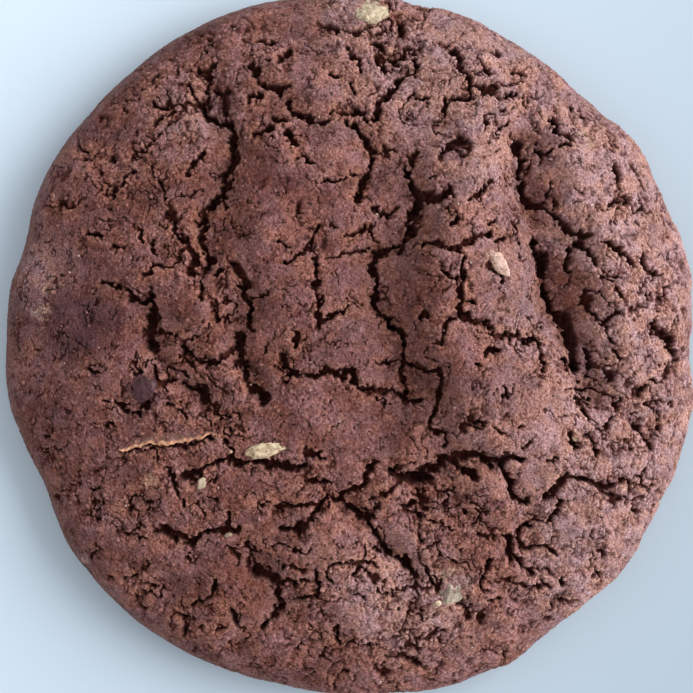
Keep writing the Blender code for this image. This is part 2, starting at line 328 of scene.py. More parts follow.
# %% Routes of the cracks, middle
CRACKS |= {
    "centre, left": [
        (6, [(236, 264), (240, 273), (246, 285)]),
        (5.5, [(236, 285), (240, 294), (244, 302), (249, 310), (251, 322), (254, 330)]),
        (2.5, [(249, 297), (261, 296), (268, 292), (269, 286)]),
        (7, [(239, 335), (238, 347), (240, 358), (245, 370), (251, 381), (257, 391), (264, 401)]),
        (5, [(232, 364), (244, 367)]),
        (4, [(280, 238), (284, 244), (289, 247)]),
        (4, [(285, 262), (292, 255), (308, 252), (312, 245), (318, 230)]),
        (4, [(312, 258), (311, 280), (319, 302), (320, 322)]),
        (3, [(322, 322), (340, 314), (346, 305)]),
        (5, [(293, 335), (296, 345)]),
        (5.5, [(285, 357), (293, 372), (285, 381)]),
        (5.5, [(293, 372), (312, 377), (327, 370), (345, 376), (352, 372), (362, 386), (372, 390),
               (388, 390), (398, 394), (420, 400)]),
        (2.5, [(326, 257), (355, 254), (370, 251)]),
    ],
    "centre": [
        (8, [(405, 170), (412, 183), (418, 192), (427, 196), (440, 197), (448, 193)]),
        (8, [(420, 197), (417, 206), (414, 218), (411, 229), (402, 239)]),
        (5, [(400, 242), (401, 254)]),
        (5, [(398, 245), (387, 245), (380, 250)]),
        (6.5, [(380, 250), (376, 262), (376, 275), (374, 290), (374, 304), (379, 315), (388, 322),
               (395, 331), (404, 345), (406, 358)]),
        (5, [(406, 358), (404, 372), (407, 388), (409, 398)]),
        (5, [(406, 362), (420, 370), (434, 370), (442, 372), (442, 390)]),
        (4, [(442, 390), (436, 405), (431, 425), (447, 447)]),
        (6, [(410, 160), (420, 148)]),
        (7, [(352, 125), (370, 150), (367, 172), (355, 200)]),
        (4.5, [(372, 203), (378, 208), (390, 211), (400, 211)]),
        (3, [(318, 180), (328, 177), (355, 175)]),
        (3, [(297, 158), (318, 162)]),
        (4, [(345, 234), (362, 229)]),
        (3.5, [(380, 360), (390, 364), (400, 365)]),
        (2.5, [(368, 226), (367, 238)]),
    ],
    "centre, right": [
        (5, [(424, 244), (434, 241), (440, 239), (448, 246), (456, 248), (463, 245), (473, 244), (479, 239),
             (489, 236)]),
        (5.5, [(456, 248), (458, 257), (460, 270), (460, 283), (458, 295), (456, 303)]),
        (7, [(456, 303), (459, 312), (464, 319)]),
        (4.5, [(464, 319), (474, 324), (483, 323), (490, 327), (498, 335), (505, 339), (515, 337),
               (527, 340), (539, 342)]),
        (3.5, [(539, 342), (541, 355), (545, 364), (547, 372)]),
        (4, [(456, 319), (447, 322), (443, 325), (443, 335), (440, 344)]),
        (3.5, [(422, 318), (426, 314), (429, 319)]),
        (3, [(438, 268), (446, 270), (454, 278)]),
        (6, [(452, 226), (457, 222), (458, 216)]),
        (3, [(448, 208), (450, 216)]),
        (5.5, [(484, 352), (490, 347), (497, 350)]),
        (3, [(476, 366), (481, 367)]),
        (3, [(500, 388), (504, 402)]),
        (3.5, [(497, 240), (504, 239)]),
        (2, [(504, 239), (516, 236)]),
        (2, [(488, 221), (498, 222)]),
        (2, [(484, 268), (494, 275), (499, 283)]),
        (3.5, [(462, 301), (472, 302)]),
    ],
}
print("cracks so far:", sum(len(routes) for routes in CRACKS.values()))

# %% Routes of the cracks, top
CRACKS |= {
    "top": [
        (4.5, [(323, 27), (333, 29), (346, 29)]),
        (3, [(346, 29), (360, 29)]),
        (2, [(360, 28), (375, 34), (388, 33)]),
        (4, [(399, 22), (401, 33)]),
        (5, [(381, 44), (387, 48)]),
        (5, [(393, 55), (402, 57), (412, 58), (413, 70), (408, 75)]),
        (4, [(343, 44), (348, 52), (358, 58)]),
        (3.5, [(378, 54), (383, 62), (388, 66)]),
        (4, [(360, 60), (362, 68)]),
        (4, [(330, 73), (339, 79)]),
        (4, [(350, 82), (354, 91)]),
        (3.5, [(281, 58), (290, 52), (293, 45)]),
        (4, [(255, 42), (262, 47), (270, 44)]),
        (5, [(250, 68), (260, 66), (258, 76)]),
        (7, [(260, 82), (268, 88), (280, 92), (287, 88)]),
        (6, [(251, 98), (260, 96)]),
        (5, [(274, 120), (283, 121)]),
        (6, [(255, 132), (270, 130)]),
        (6, [(287, 133), (293, 146)]),
        (6, [(290, 105), (295, 110), (303, 113), (312, 118), (325, 122)]),
        (3.5, [(330, 113), (337, 111), (345, 113)]),
        (7, [(352, 112), (362, 114), (374, 117)]),
        (6, [(374, 117), (384, 97), (392, 90), (397, 84), (401, 78)]),
    ],
    "top right": [
        (7, [(456, 53), (460, 62), (466, 72), (472, 80), (474, 88), (471, 96)]),
        (5, [(471, 96), (460, 101), (449, 103), (442, 112)]),
        (6.5, [(474, 88), (485, 92), (493, 90)]),
        (4, [(493, 90), (497, 97), (510, 96), (520, 97)]),
        (5, [(516, 73), (526, 78)]),
        (3, [(500, 86), (512, 85), (520, 84)]),
        (9, [(552, 122), (560, 130), (569, 137)]),
        (5, [(560, 150), (572, 146)]),
        (6, [(539, 149), (550, 153)]),
        (9, [(518, 140), (517, 150), (519, 160), (517, 168), (522, 178), (522, 188), (527, 198), (535, 206),
             (546, 210)]),
        (6.5, [(546, 210), (560, 218), (575, 230), (590, 236)]),
        (5, [(449, 146), (455, 142), (461, 141)]),
        (3, [(447, 150), (444, 158)]),
        (4, [(431, 179), (440, 176)]),
        (4, [(416, 96), (427, 97)]),
        (4, [(485, 69), (487, 75)]),
        (3, [(497, 134), (500, 130), (507, 128)]),
        (3.5, [(470, 197), (478, 193), (494, 182)]),
        (4, [(617, 165), (616, 188)]),
    ],
}
print("cracks so far:", sum(len(routes) for routes in CRACKS.values()))

# %% Routes of the cracks, right
CRACKS |= {
    "right": [
        (10, [(538, 243), (545, 265), (545, 285), (555, 310), (570, 328), (573, 340), (570, 352),
              (575, 368)]),
        (7.5, [(578, 243), (585, 250), (590, 258), (596, 263)]),
        (5, [(611, 203), (618, 201), (624, 203)]),
        (2.5, [(550, 184), (549, 197)]),
        (6, [(608, 246), (615, 250), (622, 255), (628, 258)]),
        (3, [(628, 257), (634, 268)]),
        (5, [(569, 248), (571, 257), (569, 268), (572, 275)]),
        (4, [(600, 278), (609, 279), (613, 289), (621, 298)]),
        (4, [(643, 258), (645, 268)]),
        (2.5, [(646, 272), (660, 275)]),
        (4, [(657, 290), (661, 299)]),
        (5, [(584, 292), (592, 308), (602, 318), (606, 320)]),
        (4, [(608, 318), (617, 312)]),
    ],
    "right, lower": [
        (6, [(592, 350), (595, 364)]),
        (4, [(610, 325), (612, 340), (616, 350), (620, 358)]),
        (5, [(607, 368), (613, 378)]),
        (4, [(567, 365), (576, 372)]),
        (2.5, [(562, 386), (575, 385)]),
        (3, [(580, 390), (612, 395)]),
        (6, [(620, 397), (614, 408), (611, 421)]),
        (5.5, [(578, 403), (584, 411), (587, 418)]),
        (6, [(634, 395), (641, 390), (647, 388)]),
        (4, [(647, 400), (654, 408)]),
        (5, [(636, 426), (640, 436)]),
        (4, [(641, 441), (652, 450)]),
        (3, [(660, 412), (661, 429)]),
        (7, [(652, 328), (660, 333), (668, 338), (671, 348), (676, 357)]),
        (4, [(588, 436), (592, 446), (596, 455)]),
        (4, [(569, 433), (571, 441), (579, 443)]),
        (6, [(544, 498), (553, 493), (561, 484), (569, 477), (580, 479), (590, 478), (600, 483),
             (622, 482)]),
        (4, [(598, 486), (606, 494), (612, 497)]),
        (5, [(628, 484), (631, 492)]),
        (4, [(633, 503), (638, 512)]),
    ],
}
print("cracks so far:", sum(len(routes) for routes in CRACKS.values()))

# %% Routes of the cracks, lower left
CRACKS |= {
    "lower left": [
        (3, [(120, 453), (150, 446), (165, 449), (195, 444), (213, 439)]),
        (5.5, [(186, 477), (195, 473), (201, 468), (207, 466)]),
        (3.5, [(207, 466), (213, 465), (219, 460)]),
        (8, [(219, 460), (230, 459), (243, 463), (257, 462)]),
        (7, [(259, 463), (270, 467), (279, 466), (290, 466), (298, 464)]),
        (4.5, [(225, 441), (229, 447), (235, 451)]),
        (5.5, [(167, 473), (172, 480), (178, 487), (180, 495)]),
        (3.5, [(180, 495), (185, 507)]),
        (3, [(128, 496), (126, 510)]),
        (3, [(130, 494), (142, 490), (146, 500)]),
        (2.5, [(200, 500), (202, 510), (204, 518)]),
        (3, [(94, 502), (100, 502)]),
        (5, [(154, 532), (162, 533)]),
        (8, [(167, 532), (178, 537)]),
        (6, [(178, 537), (186, 540), (192, 544), (199, 538)]),
        (5.5, [(199, 538), (210, 532), (220, 530), (231, 527), (238, 531)]),
        (4, [(230, 526), (229, 516)]),
        (3, [(244, 547), (250, 556), (255, 563)]),
        (2.5, [(125, 530), (136, 535), (145, 540)]),
    ],
    "bottom left": [
        (4.5, [(210, 580), (210, 590), (206, 597), (200, 602), (193, 606)]),
        (4, [(177, 612), (188, 619)]),
        (3.5, [(191, 626), (187, 637)]),
        (5, [(231, 611), (234, 619), (238, 627)]),
        (3.5, [(212, 628), (223, 626)]),
        (4, [(123, 577), (134, 578)]),
        (4.5, [(143, 584), (152, 588)]),
        (4, [(139, 597), (141, 608)]),
        (3.5, [(254, 504), (260, 507), (265, 504)]),
        (4, [(274, 510), (283, 510), (291, 504), (298, 505), (310, 505), (318, 509)]),
        (8, [(257, 564), (255, 571), (262, 576), (272, 581)]),
        (5, [(272, 581), (290, 584), (299, 588)]),
        (5.5, [(276, 583), (280, 596), (284, 604), (278, 616), (272, 622), (262, 626)]),
        (4, [(280, 568), (288, 564), (294, 567), (306, 568)]),
        (2, [(274, 548), (292, 549), (311, 549)]),
    ],
    "lower centre": [
        (3.5, [(302, 454), (320, 454)]),
        (4, [(302, 482), (318, 484), (334, 482)]),
        (6.5, [(282, 532), (300, 532), (307, 525), (313, 516), (322, 508), (329, 501), (340, 504),
               (347, 511), (357, 516)]),
        (9, [(357, 516), (371, 519)]),
        (7.5, [(369, 520), (370, 529), (374, 538), (381, 543), (389, 551), (399, 558), (405, 561),
               (409, 570), (412, 579)]),
        (5, [(342, 500), (344, 494), (352, 490), (361, 487)]),
        (5, [(352, 490), (364, 482), (370, 471), (375, 464)]),
        (4.5, [(376, 498), (386, 494), (396, 488), (401, 484)]),
        (3, [(360, 508), (372, 510), (380, 505)]),
        (11, [(399, 474), (408, 478), (420, 479)]),
        (7, [(421, 472), (436, 468), (441, 462)]),
        (5, [(445, 459), (450, 464)]),
        (4, [(418, 496), (423, 498), (420, 506), (426, 510), (433, 510)]),
        (4, [(402, 512), (410, 508), (415, 506)]),
        (4, [(419, 514), (422, 522)]),
        (3, [(420, 533), (422, 539)]),
        (3, [(444, 489), (456, 487)]),
    ],
}
print("cracks so far:", sum(len(routes) for routes in CRACKS.values()))

# %% Routes of the cracks, bottom
CRACKS |= {
    "bottom": [
        (5.5, [(299, 599), (310, 599), (318, 596), (320, 587), (316, 576)]),
        (3, [(320, 600), (336, 600)]),
        (4, [(330, 573), (338, 568), (347, 568), (356, 568), (368, 566)]),
        (4, [(355, 579), (362, 572)]),
        (3, [(370, 552), (378, 550)]),
        (3, [(328, 578), (332, 583)]),
        (2.5, [(390, 588), (390, 598)]),
        (4, [(428, 570), (432, 580), (437, 588), (444, 594)]),
        (3.5, [(442, 603), (450, 605), (458, 606), (463, 610), (469, 614)]),
        (4, [(346, 646), (354, 644)]),
        (4, [(360, 644), (369, 647)]),
        (3.5, [(336, 631), (337, 642)]),
        (4, [(385, 655), (405, 658), (425, 667)]),
    ],
    "lower right": [
        (6, [(452, 466), (458, 458), (465, 457), (475, 457), (483, 458)]),
        (7.5, [(483, 458), (492, 464), (502, 462), (507, 458), (520, 457)]),
        (7, [(451, 465), (457, 469)]),
        (7, [(466, 473), (473, 479)]),
        (7, [(502, 463), (506, 478), (510, 489)]),
        (5, [(510, 489), (515, 496), (527, 500)]),
        (3.5, [(534, 522), (544, 522), (552, 517), (557, 511), (560, 503)]),
        (6, [(531, 524), (523, 530), (520, 538)]),
        (4, [(480, 538), (490, 538), (501, 539)]),
        (8, [(506, 541), (510, 549)]),
        (5, [(510, 549), (514, 556)]),
        (4, [(524, 540), (528, 546), (536, 546), (544, 544), (552, 548), (558, 554)]),
        (4, [(520, 552), (522, 560), (526, 568), (534, 577)]),
        (3, [(542, 570), (552, 574)]),
        (4, [(531, 588), (539, 589)]),
        (3.5, [(542, 584), (549, 586)]),
        (4, [(560, 576), (562, 583)]),
        (5, [(558, 600), (563, 602)]),
        (5, [(595, 572), (600, 572)]),
        (5, [(491, 561), (487, 570), (482, 579)]),
        (4, [(482, 579), (479, 588)]),
        (3.5, [(491, 601), (501, 601)]),
        (3, [(467, 415), (472, 420), (480, 419)]),
        (2.5, [(520, 424), (525, 422)]),
        (2.5, [(522, 446), (528, 442)]),
        (3, [(548, 460), (557, 461)]),
        (3, [(493, 425), (498, 431)]),
    ],
}
print("cracks so far:", sum(len(routes) for routes in CRACKS.values()))

# %% Single holes
HOLES_PX = {
    "left": [(229, 28), (210, 40), (172, 63), (148, 88), (178, 86), (138, 92), (101, 120), (124, 108),
             (136, 137), (171, 127), (183, 126), (193, 126), (98, 166), (66, 176), (62, 275), (25, 392),
             (50, 460), (70, 483), (76, 480), (58, 499), (92, 503), (94, 522), (103, 517), (92, 555),
             (110, 578), (129, 578), (143, 585), (172, 640), (196, 648)],
    "bottom": [(487, 270), (348, 594), (374, 566), (194, 606), (572, 550)],
    "top": [(330, 226), (515, 45), (498, 56), (502, 114)],
    "right": [(645, 197), (597, 204), (603, 205), (603, 148), (608, 222), (636, 292), (654, 436),
              (667, 405), (615, 507), (626, 499), (648, 478)],
}
print("single holes:", sum(len(places) for places in HOLES_PX.values()))

# %% [markdown]
# ### From a route to a torn gap
# A gap has steep walls and a floor, and a wide one is deeper. The single holes are all of one size
# and are worked out as cracks that have hardly any length. The relief needs two values of each
# place: how deep the gap is there, and how far the nearest gap's edge is.

# %% Gaps and holes
TEARS = ((3.2, 0.32, 10), (1.25, 0.18, 20), (0.55, 0.13, 30), (0.3, 0.05, 36))
CRACK_LEAST_DEPTH = 0.8
CRACK_DEPTH_PER_WIDTH = 2.0
CRACK_SPREAD = 0.03
CRACK_REACH = 3.5
WALL_FOOT, WALL_TOP, WALL_SPREAD = 0.55, 1.1, 0.04
HOLE_RADIUS = 0.45
HOLE_FLOOR = 0.3
HOLE_DEPTH = 0.9
HOLE_LENGTH = (0.05, 0.0)


def near_segment(places, start, end, reach):
    """Which places lie within reach of a straight run in plan, and how far they are from it."""
    lowest = np.minimum(start, end) - reach
    highest = np.maximum(start, end) + reach
    x, y = places[:, 0], places[:, 1]
    chosen = np.nonzero((x > lowest[0]) & (x < highest[0]) & (y > lowest[1]) & (y < highest[1]))[0]
    run = end - start
    away = places[chosen, :2] - start
    along = np.clip(away @ run / (run @ run), 0.0, 1.0)
    return chosen, np.linalg.norm(away - along[:, None] * run, axis=1)


def crack_field(torn, loose):
    """Depth of the gaps and distance to the nearest edge, from torn places and a width factor."""
    gap = np.zeros(len(torn))
    edge = np.full(len(torn), CRACK_REACH)
    for width_px, route_px in itertools.chain.from_iterable(CRACKS.values()):
        width = width_px / PX_PER_MM
        depth = CRACK_LEAST_DEPTH + CRACK_DEPTH_PER_WIDTH * width
        for start, end in itertools.pairwise([plan(place) for place in route_px]):
            chosen, distance = near_segment(torn, start, end, CRACK_REACH)
            half = 0.5 * width * loose[chosen] + CRACK_SPREAD
            wall = 1.0 - ease(distance, WALL_FOOT * half, WALL_TOP * half + WALL_SPREAD)
            gap[chosen] = np.maximum(gap[chosen], depth * wall)
            edge[chosen] = np.minimum(edge[chosen], distance - half)
    return gap, edge


def holes(torn):
    """Depth of the single small holes."""
    depth = np.zeros(len(torn))
    for place_px in itertools.chain.from_iterable(HOLES_PX.values()):
        middle = plan(place_px)
        chosen, distance = near_segment(torn, middle, middle + HOLE_LENGTH, 2.0 * HOLE_RADIUS)
        wall = 1.0 - ease(distance, HOLE_FLOOR * HOLE_RADIUS, HOLE_RADIUS)
        depth[chosen] = np.maximum(depth[chosen], HOLE_DEPTH * wall)
    return depth


widest = max(width_px for routes in CRACKS.values() for width_px, _ in routes) / PX_PER_MM
deepest = CRACK_LEAST_DEPTH + CRACK_DEPTH_PER_WIDTH * widest
print("the widest crack, mm:", round(widest, 2), "wide and", round(deepest, 2), "deep")

# %% [markdown]
# ## Swells, and areas of the crust
# Between the cracks the crust has its own relief, from large to small. The broad humps and hollows are
# listed: half a width in pixels, a height in millimetres and a route. Soft round spots say
# where the crust broke open and where its plates stayed smooth: a place and a radius in pixels, and a
# strength.

# %% Ridges and valleys, crumbly and smooth areas
RIDGES = {
    "long ridge right of the centre": (
        44, 2.2, [(445, 195), (452, 260), (465, 330), (482, 400), (490, 440)]),
    "valley of the right rift": (18, -2.9, [(520, 140), (538, 215), (552, 270), (570, 330), (590, 385)]),
    "wall of the right rift": (22, 1.2, [(568, 150), (594, 230), (608, 290), (620, 350)]),
    "ridge at the right": (34, 0.9, [(610, 170), (635, 230), (648, 300), (652, 370)]),
    "valley of the centre rift": (
        19, -2.4, [(412, 195), (383, 250), (374, 290), (388, 330), (402, 370), (410, 395)]),
    "wall of the centre rift": (24, 0.9, [(430, 235), (425, 300), (440, 350), (455, 400)]),
    "left slope of the centre rift": (17, -1.1, [(425, 405), (440, 425), (447, 450)]),
    "centre ridge": (32, 1.0, [(335, 225), (338, 290), (335, 350)]),
    "ridge between the left cracks": (28, 1.0, [(268, 145), (262, 200), (272, 255), (285, 300)]),
    "valley of the left rift": (
        14, -1.3, [(205, 100), (225, 130), (232, 160), (222, 195), (203, 230), (200, 265)]),
    "left plates": (34, 0.9, [(105, 225), (148, 245), (165, 280)]),
    "valley left of the centre": (14, -1.3, [(143, 300), (150, 340), (165, 375), (200, 392)]),
    "ridge left of the centre": (19, 0.8, [(192, 320), (212, 350), (232, 385)]),
    "valley of the centre left": (14, -1.5, [(243, 300), (245, 340), (258, 385)]),
    "top crack": (14, -0.6, [(356, 130), (370, 160), (360, 195)]),
    "above the centre": (17, -1.1, [(408, 165), (425, 195), (455, 190)]),
    "round plate at the top": (36, 0.8, [(318, 85), (325, 85)]),
    "top right": (34, 1.1, [(480, 110), (470, 150)]),
    "left dome": (70, 0.7, [(75, 300), (80, 335)]),
    "below the diagonal": (30, 1.0, [(320, 545), (345, 560)]),
    "diagonal": (14, -1.6, [(352, 512), (378, 543), (408, 575)]),
    "dark patch": (20, -1.8, [(405, 475), (440, 468)]),
    "lower right arc": (17, -1.2, [(480, 455), (510, 470), (528, 505), (520, 535)]),
    "plate, lower right": (40, 0.8, [(520, 410), (530, 430)]),
    "bottom right": (50, 0.8, [(590, 520), (600, 540)]),
    "lower left gap": (16, -0.8, [(165, 532), (200, 538), (235, 530)]),
    "nut slot": (15, -0.8, [(190, 472), (240, 462), (290, 465)]),
    "bottom gap": (20, -1.8, [(258, 565), (280, 600)]),
    "lower left": (48, 0.5, [(140, 490), (150, 505)]),
    "dough round the nut at the top edge": (16, 1.0, [(333, 13), (390, 13)]),
}
CRUMBLY_PX = {
    "upper left arc": (215, 80, 85, 0.35),
    "left edge": (140, 160, 60, 0.5),
    "right side": (620, 300, 95, 0.4),
    "right, lower": (630, 420, 80, 0.45),
    "bottom right": (500, 590, 110, 0.2),
    "bottom": (330, 620, 90, 0.4),
    "top right": (500, 110, 80, 0.3),
    "top": (400, 60, 70, 0.35),
    "dark patch": (440, 480, 60, 0.6),
    "left of centre": (170, 370, 50, 0.6),
}
SMOOTH_PX = {
    "middle": (390, 310, 140, 0.25),
    "above the plate with a nut": (475, 215, 35, 0.5),
    "left dome": (85, 310, 70, 0.8),
    "round plate": (320, 85, 35, 0.6),
    "centre": (320, 330, 55, 0.5),
    "between the left cracks": (275, 180, 45, 0.5),
    "plate with a nut": (500, 290, 50, 0.8),
    "plate, lower right": (520, 430, 45, 0.5),
}
RIDGE_REACH, FAR_AWAY = 2.6, 9.0


def spots(places, table):
    """The sum of a table's soft spots."""
    total = np.zeros(len(places))
    for x_px, y_px, radius_px, strength in table.values():
        away = places[:, :2] - plan((x_px, y_px))
        total += strength * np.exp(-np.sum(away * away, axis=1) * (PX_PER_MM / radius_px) ** 2)
    return total


def ridges(places):
    """Height of the ridges and valleys, each with a soft round section along its route."""
    total = np.zeros(len(places))
    for half_width_px, height, route_px in RIDGES.values():
        half_width = half_width_px / PX_PER_MM
        away = np.full(len(places), FAR_AWAY * half_width)
        for start, end in itertools.pairwise([plan(place) for place in route_px]):
            chosen, distance = near_segment(places, start, end, RIDGE_REACH * half_width)
            away[chosen] = np.minimum(away[chosen], distance)
        total += height * np.exp(-((away / half_width) ** 2))
    return total


print("ridges and valleys:", len(RIDGES), "- areas:", len(CRUMBLY_PX) + len(SMOOTH_PX))

# %% [markdown]
# ### Patches of colour
# The crust isn't one brown. It is tinted where a nut or chocolate lies just under it. Where it stands
# high at the right, facing the light, it is painted pale, partly as dry crust and partly as light. In
# the rifts, on slopes that face away from the light and over the left third it is painted darker and
# browner, partly as moist dough and partly as shade. These are soft spots too. A negative one takes
# away from those round it.

# %% Patches of colour
PALE_PX = {
    "nut under the dough, upper right": (583, 140, 14, 0.9),
    "beside the nut on the plate": (490, 262, 14, 0.5),
    "nut lump, lower right": (454, 580, 17, 0.9),
    "centre": (337, 422, 9, 0.6),
    "left, below the flake": (150, 480, 9, 0.8),
    "left rim": (43, 312, 11, 0.8),
    "left rim, upper": (50, 288, 7, 0.6),
    "lower left rim": (82, 560, 10, 0.7),
}
# Pale dry crust and painted light: paler where the crust faces the light at the right, and darker as painted
# shade in the right rift.
DRY_AND_LIT_PX = {
    "right": (655, 260, 85, 1.5),
    "right rift": (576, 290, 36, -0.8),
    "right rift, upper": (545, 195, 26, -0.4),
    "right, lower": (640, 420, 75, 1.1),
    "bottom right": (600, 550, 80, 1.0),
    "right, raised": (637, 255, 40, 1.3),
    "plate with a nut": (500, 250, 50, 0.25),
    "above the plate with a nut": (478, 165, 35, 0.35),
    "right of the plate with a nut": (528, 320, 35, 0.4),
    "below the plate with a nut": (510, 420, 60, 0.2),
    "bottom": (410, 598, 55, 1.05),
    "bottom, right of the middle": (490, 560, 45, -0.4),
    "bottom, left": (330, 560, 40, 0.25),
    "centre plate": (352, 325, 22, 0.25),
    "top right": (480, 75, 90, 0.75),
    "top left": (190, 110, 50, 0.55),
    "top": (350, 60, 75, 0.35),
    "dough at the top edge": (345, 12, 25, 0.4),
    "upper right": (600, 160, 60, 0.4),
    "left rim": (40, 270, 35, 0.65),
}
# Chocolate showing under the dough, and painted shade over the side away from the light.
COCOA_AND_SHADE_PX = {
    "chocolate under the left dome": (72, 325, 30, 0.9),
    "round the chunk": (143, 392, 16, 0.8),
    "lower right": (528, 605, 12, 0.5),
    "right": (650, 230, 14, 0.4),
    # Painted shade: the left third faces away from the light and is painted darker.
    "left third": (110, 330, 130, 0.27),
    "under the dough at the top edge": (334, 28, 7, 0.5),
    "bottom left": (180, 560, 90, 0.22),
}
# Moist brown dough and painted shade: darker in the rifts and on slopes that face away from the light.
BROWN_AND_SHADE_PX = {
    "right rift": (576, 290, 38, 0.8),
    "right rift, upper": (545, 195, 26, 0.4),
    "plate, upper left": (258, 180, 45, 0.6),
    "left rift": (205, 230, 40, 0.4),
    "bottom left": (228, 592, 42, 0.6),
    "left slope of the long ridge": (418, 300, 32, 0.7),
    "left slope of the long ridge, lower": (438, 375, 28, 0.8),
    "centre left": (255, 340, 35, 0.3),
}
print("patches of colour:", sum(len(table) for table in (PALE_PX, DRY_AND_LIT_PX, COCOA_AND_SHADE_PX, BROWN_AND_SHADE_PX)))

# %% [markdown]
# ## Creases, pits and crumb
# Between the traced cracks the crust is broken more finely than can be traced. Five webs of creases,
# from gaps round lobes of dough down to ticks, run where a noise crosses zero, and a slower noise
# opens each web in some areas only. Pits are the peaks of a noise. Crumb is a sum of bulges of five
# sizes with creases between them, strong where the crust broke open and weak on the smooth plates.

# %% Creases, pits and crumb
# A web has its own noise (size, seed, layers, keep) and the slower one (size, seed). Then come how much
# that one, the crumbliness and a near crack count, and from where to where these open the web. Last are
# the web's depth, and the values of its own noise at the foot and the top of a crease's walls.
WEBS = {
    "round the lobes": ((4.6, 60, 3, 0.42), (4.2, 61), (0.8, 1.5, 0.3), (0.7, 1.6), 1.2, (0.05, 0.21)),
    "round the knobs": ((2.8, 65, 2, 0.4), (2.8, 66), (1.0, 1.0, 0.3), (0.9, 1.6), 0.75, (0.05, 0.26)),
    "hairlines": ((5.0, 67, 3, 0.45), (2.6, 68), (1.0, 0.3, 0.0), (0.2, 0.9), 0.6, (0.02, 0.13)),
    "short cracks": ((3.0, 75, 3, 0.5), (1.4, 76), (1.0, 0.5, 0.0), (0.2, 0.9), 0.5, (0.02, 0.14)),
    "ticks": ((1.5, 85, 2, 0.5), (0.8, 86), (1.0, 0.5, 0.0), (0.1, 0.8), 0.32, (0.03, 0.17)),
}
# A kind of pit: size, seed, how much the crumbliness counts, from where to where it opens, and depth.
PITS = ((1.2, 62, 0.8, (2.1, 2.45), 0.8), (0.6, 69, 0.5, (2.4, 2.8), 0.45))
# A kind of lump: size, height, the share of it that a smooth plate keeps, and seed.
LUMPS = ((2.0, 0.21, 0.02, 70), (1.2, 0.18, 0.05, 71), (0.75, 0.18, 0.18, 72), (0.42, 0.15, 0.45, 73))
BROAD_LUMP, BROAD_LUMP_HEIGHT, BROAD_LUMP_SEED = 3.2, 0.36, 74
BROAD_CREASE, FINE_CREASE = 0.45, 0.5
BULGE_LEVEL = 0.4
FINE_LUMP = 1.0


def web(kind, places, points, crumbly, beside, widen=1.0):
    """One web of creases: how far each place is from it, how open it is there, and how deep."""
    own, slower, counts, opens, depth, wall = WEBS[kind]
    away = np.abs(rough_noise(points, *own))
    opening = counts[0] * noise(places, *slower) + counts[1] * crumbly + counts[2] * beside
    opening = ease(opening, *opens)
    return away, opening, depth * opening * (1.0 - ease(away / widen, *wall))


def pits(points, crumbly):
    """Depths of the two kinds of pits."""
    return [depth * ease(noise(points, size, seed) + count * crumbly, *opens)
            for size, seed, count, opens, depth in PITS]


def bulges(points, size, seed, crease):
    """Round bulges with creases between them, about as much above the surface as below it."""
    return BULGE_LEVEL - np.exp(-np.abs(noise(points, size, seed)) / crease)


def lumps(torn, sunk, crumbly, rough):
    """Height of the crumb. The fine lumps also run down the walls of the gaps."""
    height = BROAD_LUMP_HEIGHT * crumbly * bulges(torn, BROAD_LUMP, BROAD_LUMP_SEED, BROAD_CREASE)
    for size, amount, least, seed in LUMPS:
        points = sunk if size < FINE_LUMP else torn
        height += (least + (1.0 - least) * rough) * amount * bulges(points, size, seed, FINE_CREASE)
    return height


print("webs of creases:", ", ".join(WEBS))

# %% [markdown]
# ## Where the relief is strong
# The rim baked hard against the air and stayed nearly smooth, and the light shows more of it at the
# right, so there the relief reaches further down. Gaps run nearly straight down on top, and inwards
# at the rim. Along the traced cracks, the width and the depth waver, as they do where dough tears.

# %% Rim, crumbliness and traced gaps
RIM_FROM, RIM_TO, RIM_DROP = 5.6, 8.5, 2.4
RIM_SHARE_LEFT, RIM_SHARE_RIGHT = 0.2, 0.45
RIM_LEFT, RIM_SHARE_AT, RIM_DROP_AT = -0.45, 0.15, 0.25
GAP_UPRIGHT = 2.0
WIDTH_FACTOR, WIDTH_LAYERS, WIDTH_FRAYS = 1.05, ((1.3, 0.36, 40), (3.5, 0.25, 41)), ((0.5, 0.15, 44),)
WIDTH_LIMITS = (0.3, 2.2)
DEPTH_FACTOR, DEPTH_LAYERS = 0.95, ((1.6, 0.22, 43), (0.6, 0.12, 45))
DEPTH_LIMITS = (0.4, 1.3)
CRUMBLY_MEAN, CRUMBLY_SPOTS, SMOOTH_SPOTS = 0.38, 0.5, 0.7
CRUMBLY_LAYERS = ((6.0, 0.2, 42),)
CRUMBLY_LIMITS = (0.05, 0.95)


def to_the_right(places, start, end):
    """0 before start and 1 after end, which are places along X over the radius."""
    return ease(places[:, 0] / MEAN_RADIUS, start, end)


def rim_shares(places):
    """0 on the rim and 1 above it, and the share of the relief that each place gets."""
    lower = RIM_DROP * to_the_right(places, RIM_LEFT, RIM_DROP_AT)
    above_rim = ease(places[:, 2], RIM_FROM - lower, RIM_TO - lower)
    right = to_the_right(places, RIM_LEFT, RIM_SHARE_AT)
    rim_share = RIM_SHARE_LEFT + (RIM_SHARE_RIGHT - RIM_SHARE_LEFT) * right
    return above_rim, rim_share + (1.0 - rim_share) * above_rim


def ways_down(normals):
    """The ways in which gaps run down into the dough."""
    down = -normals
    down[:, 2] -= GAP_UPRIGHT * np.maximum(normals[:, 2], 0.0)
    return down / np.linalg.norm(down, axis=1)[:, None]


def crumbliness(places):
    """How broken the crust is, from nearly 0 on a smooth plate to nearly 1."""
    crumbly = CRUMBLY_SPOTS * spots(places, CRUMBLY_PX) - SMOOTH_SPOTS * spots(places, SMOOTH_PX)
    return np.clip(CRUMBLY_MEAN + varied(crumbly, places, CRUMBLY_LAYERS), *CRUMBLY_LIMITS)


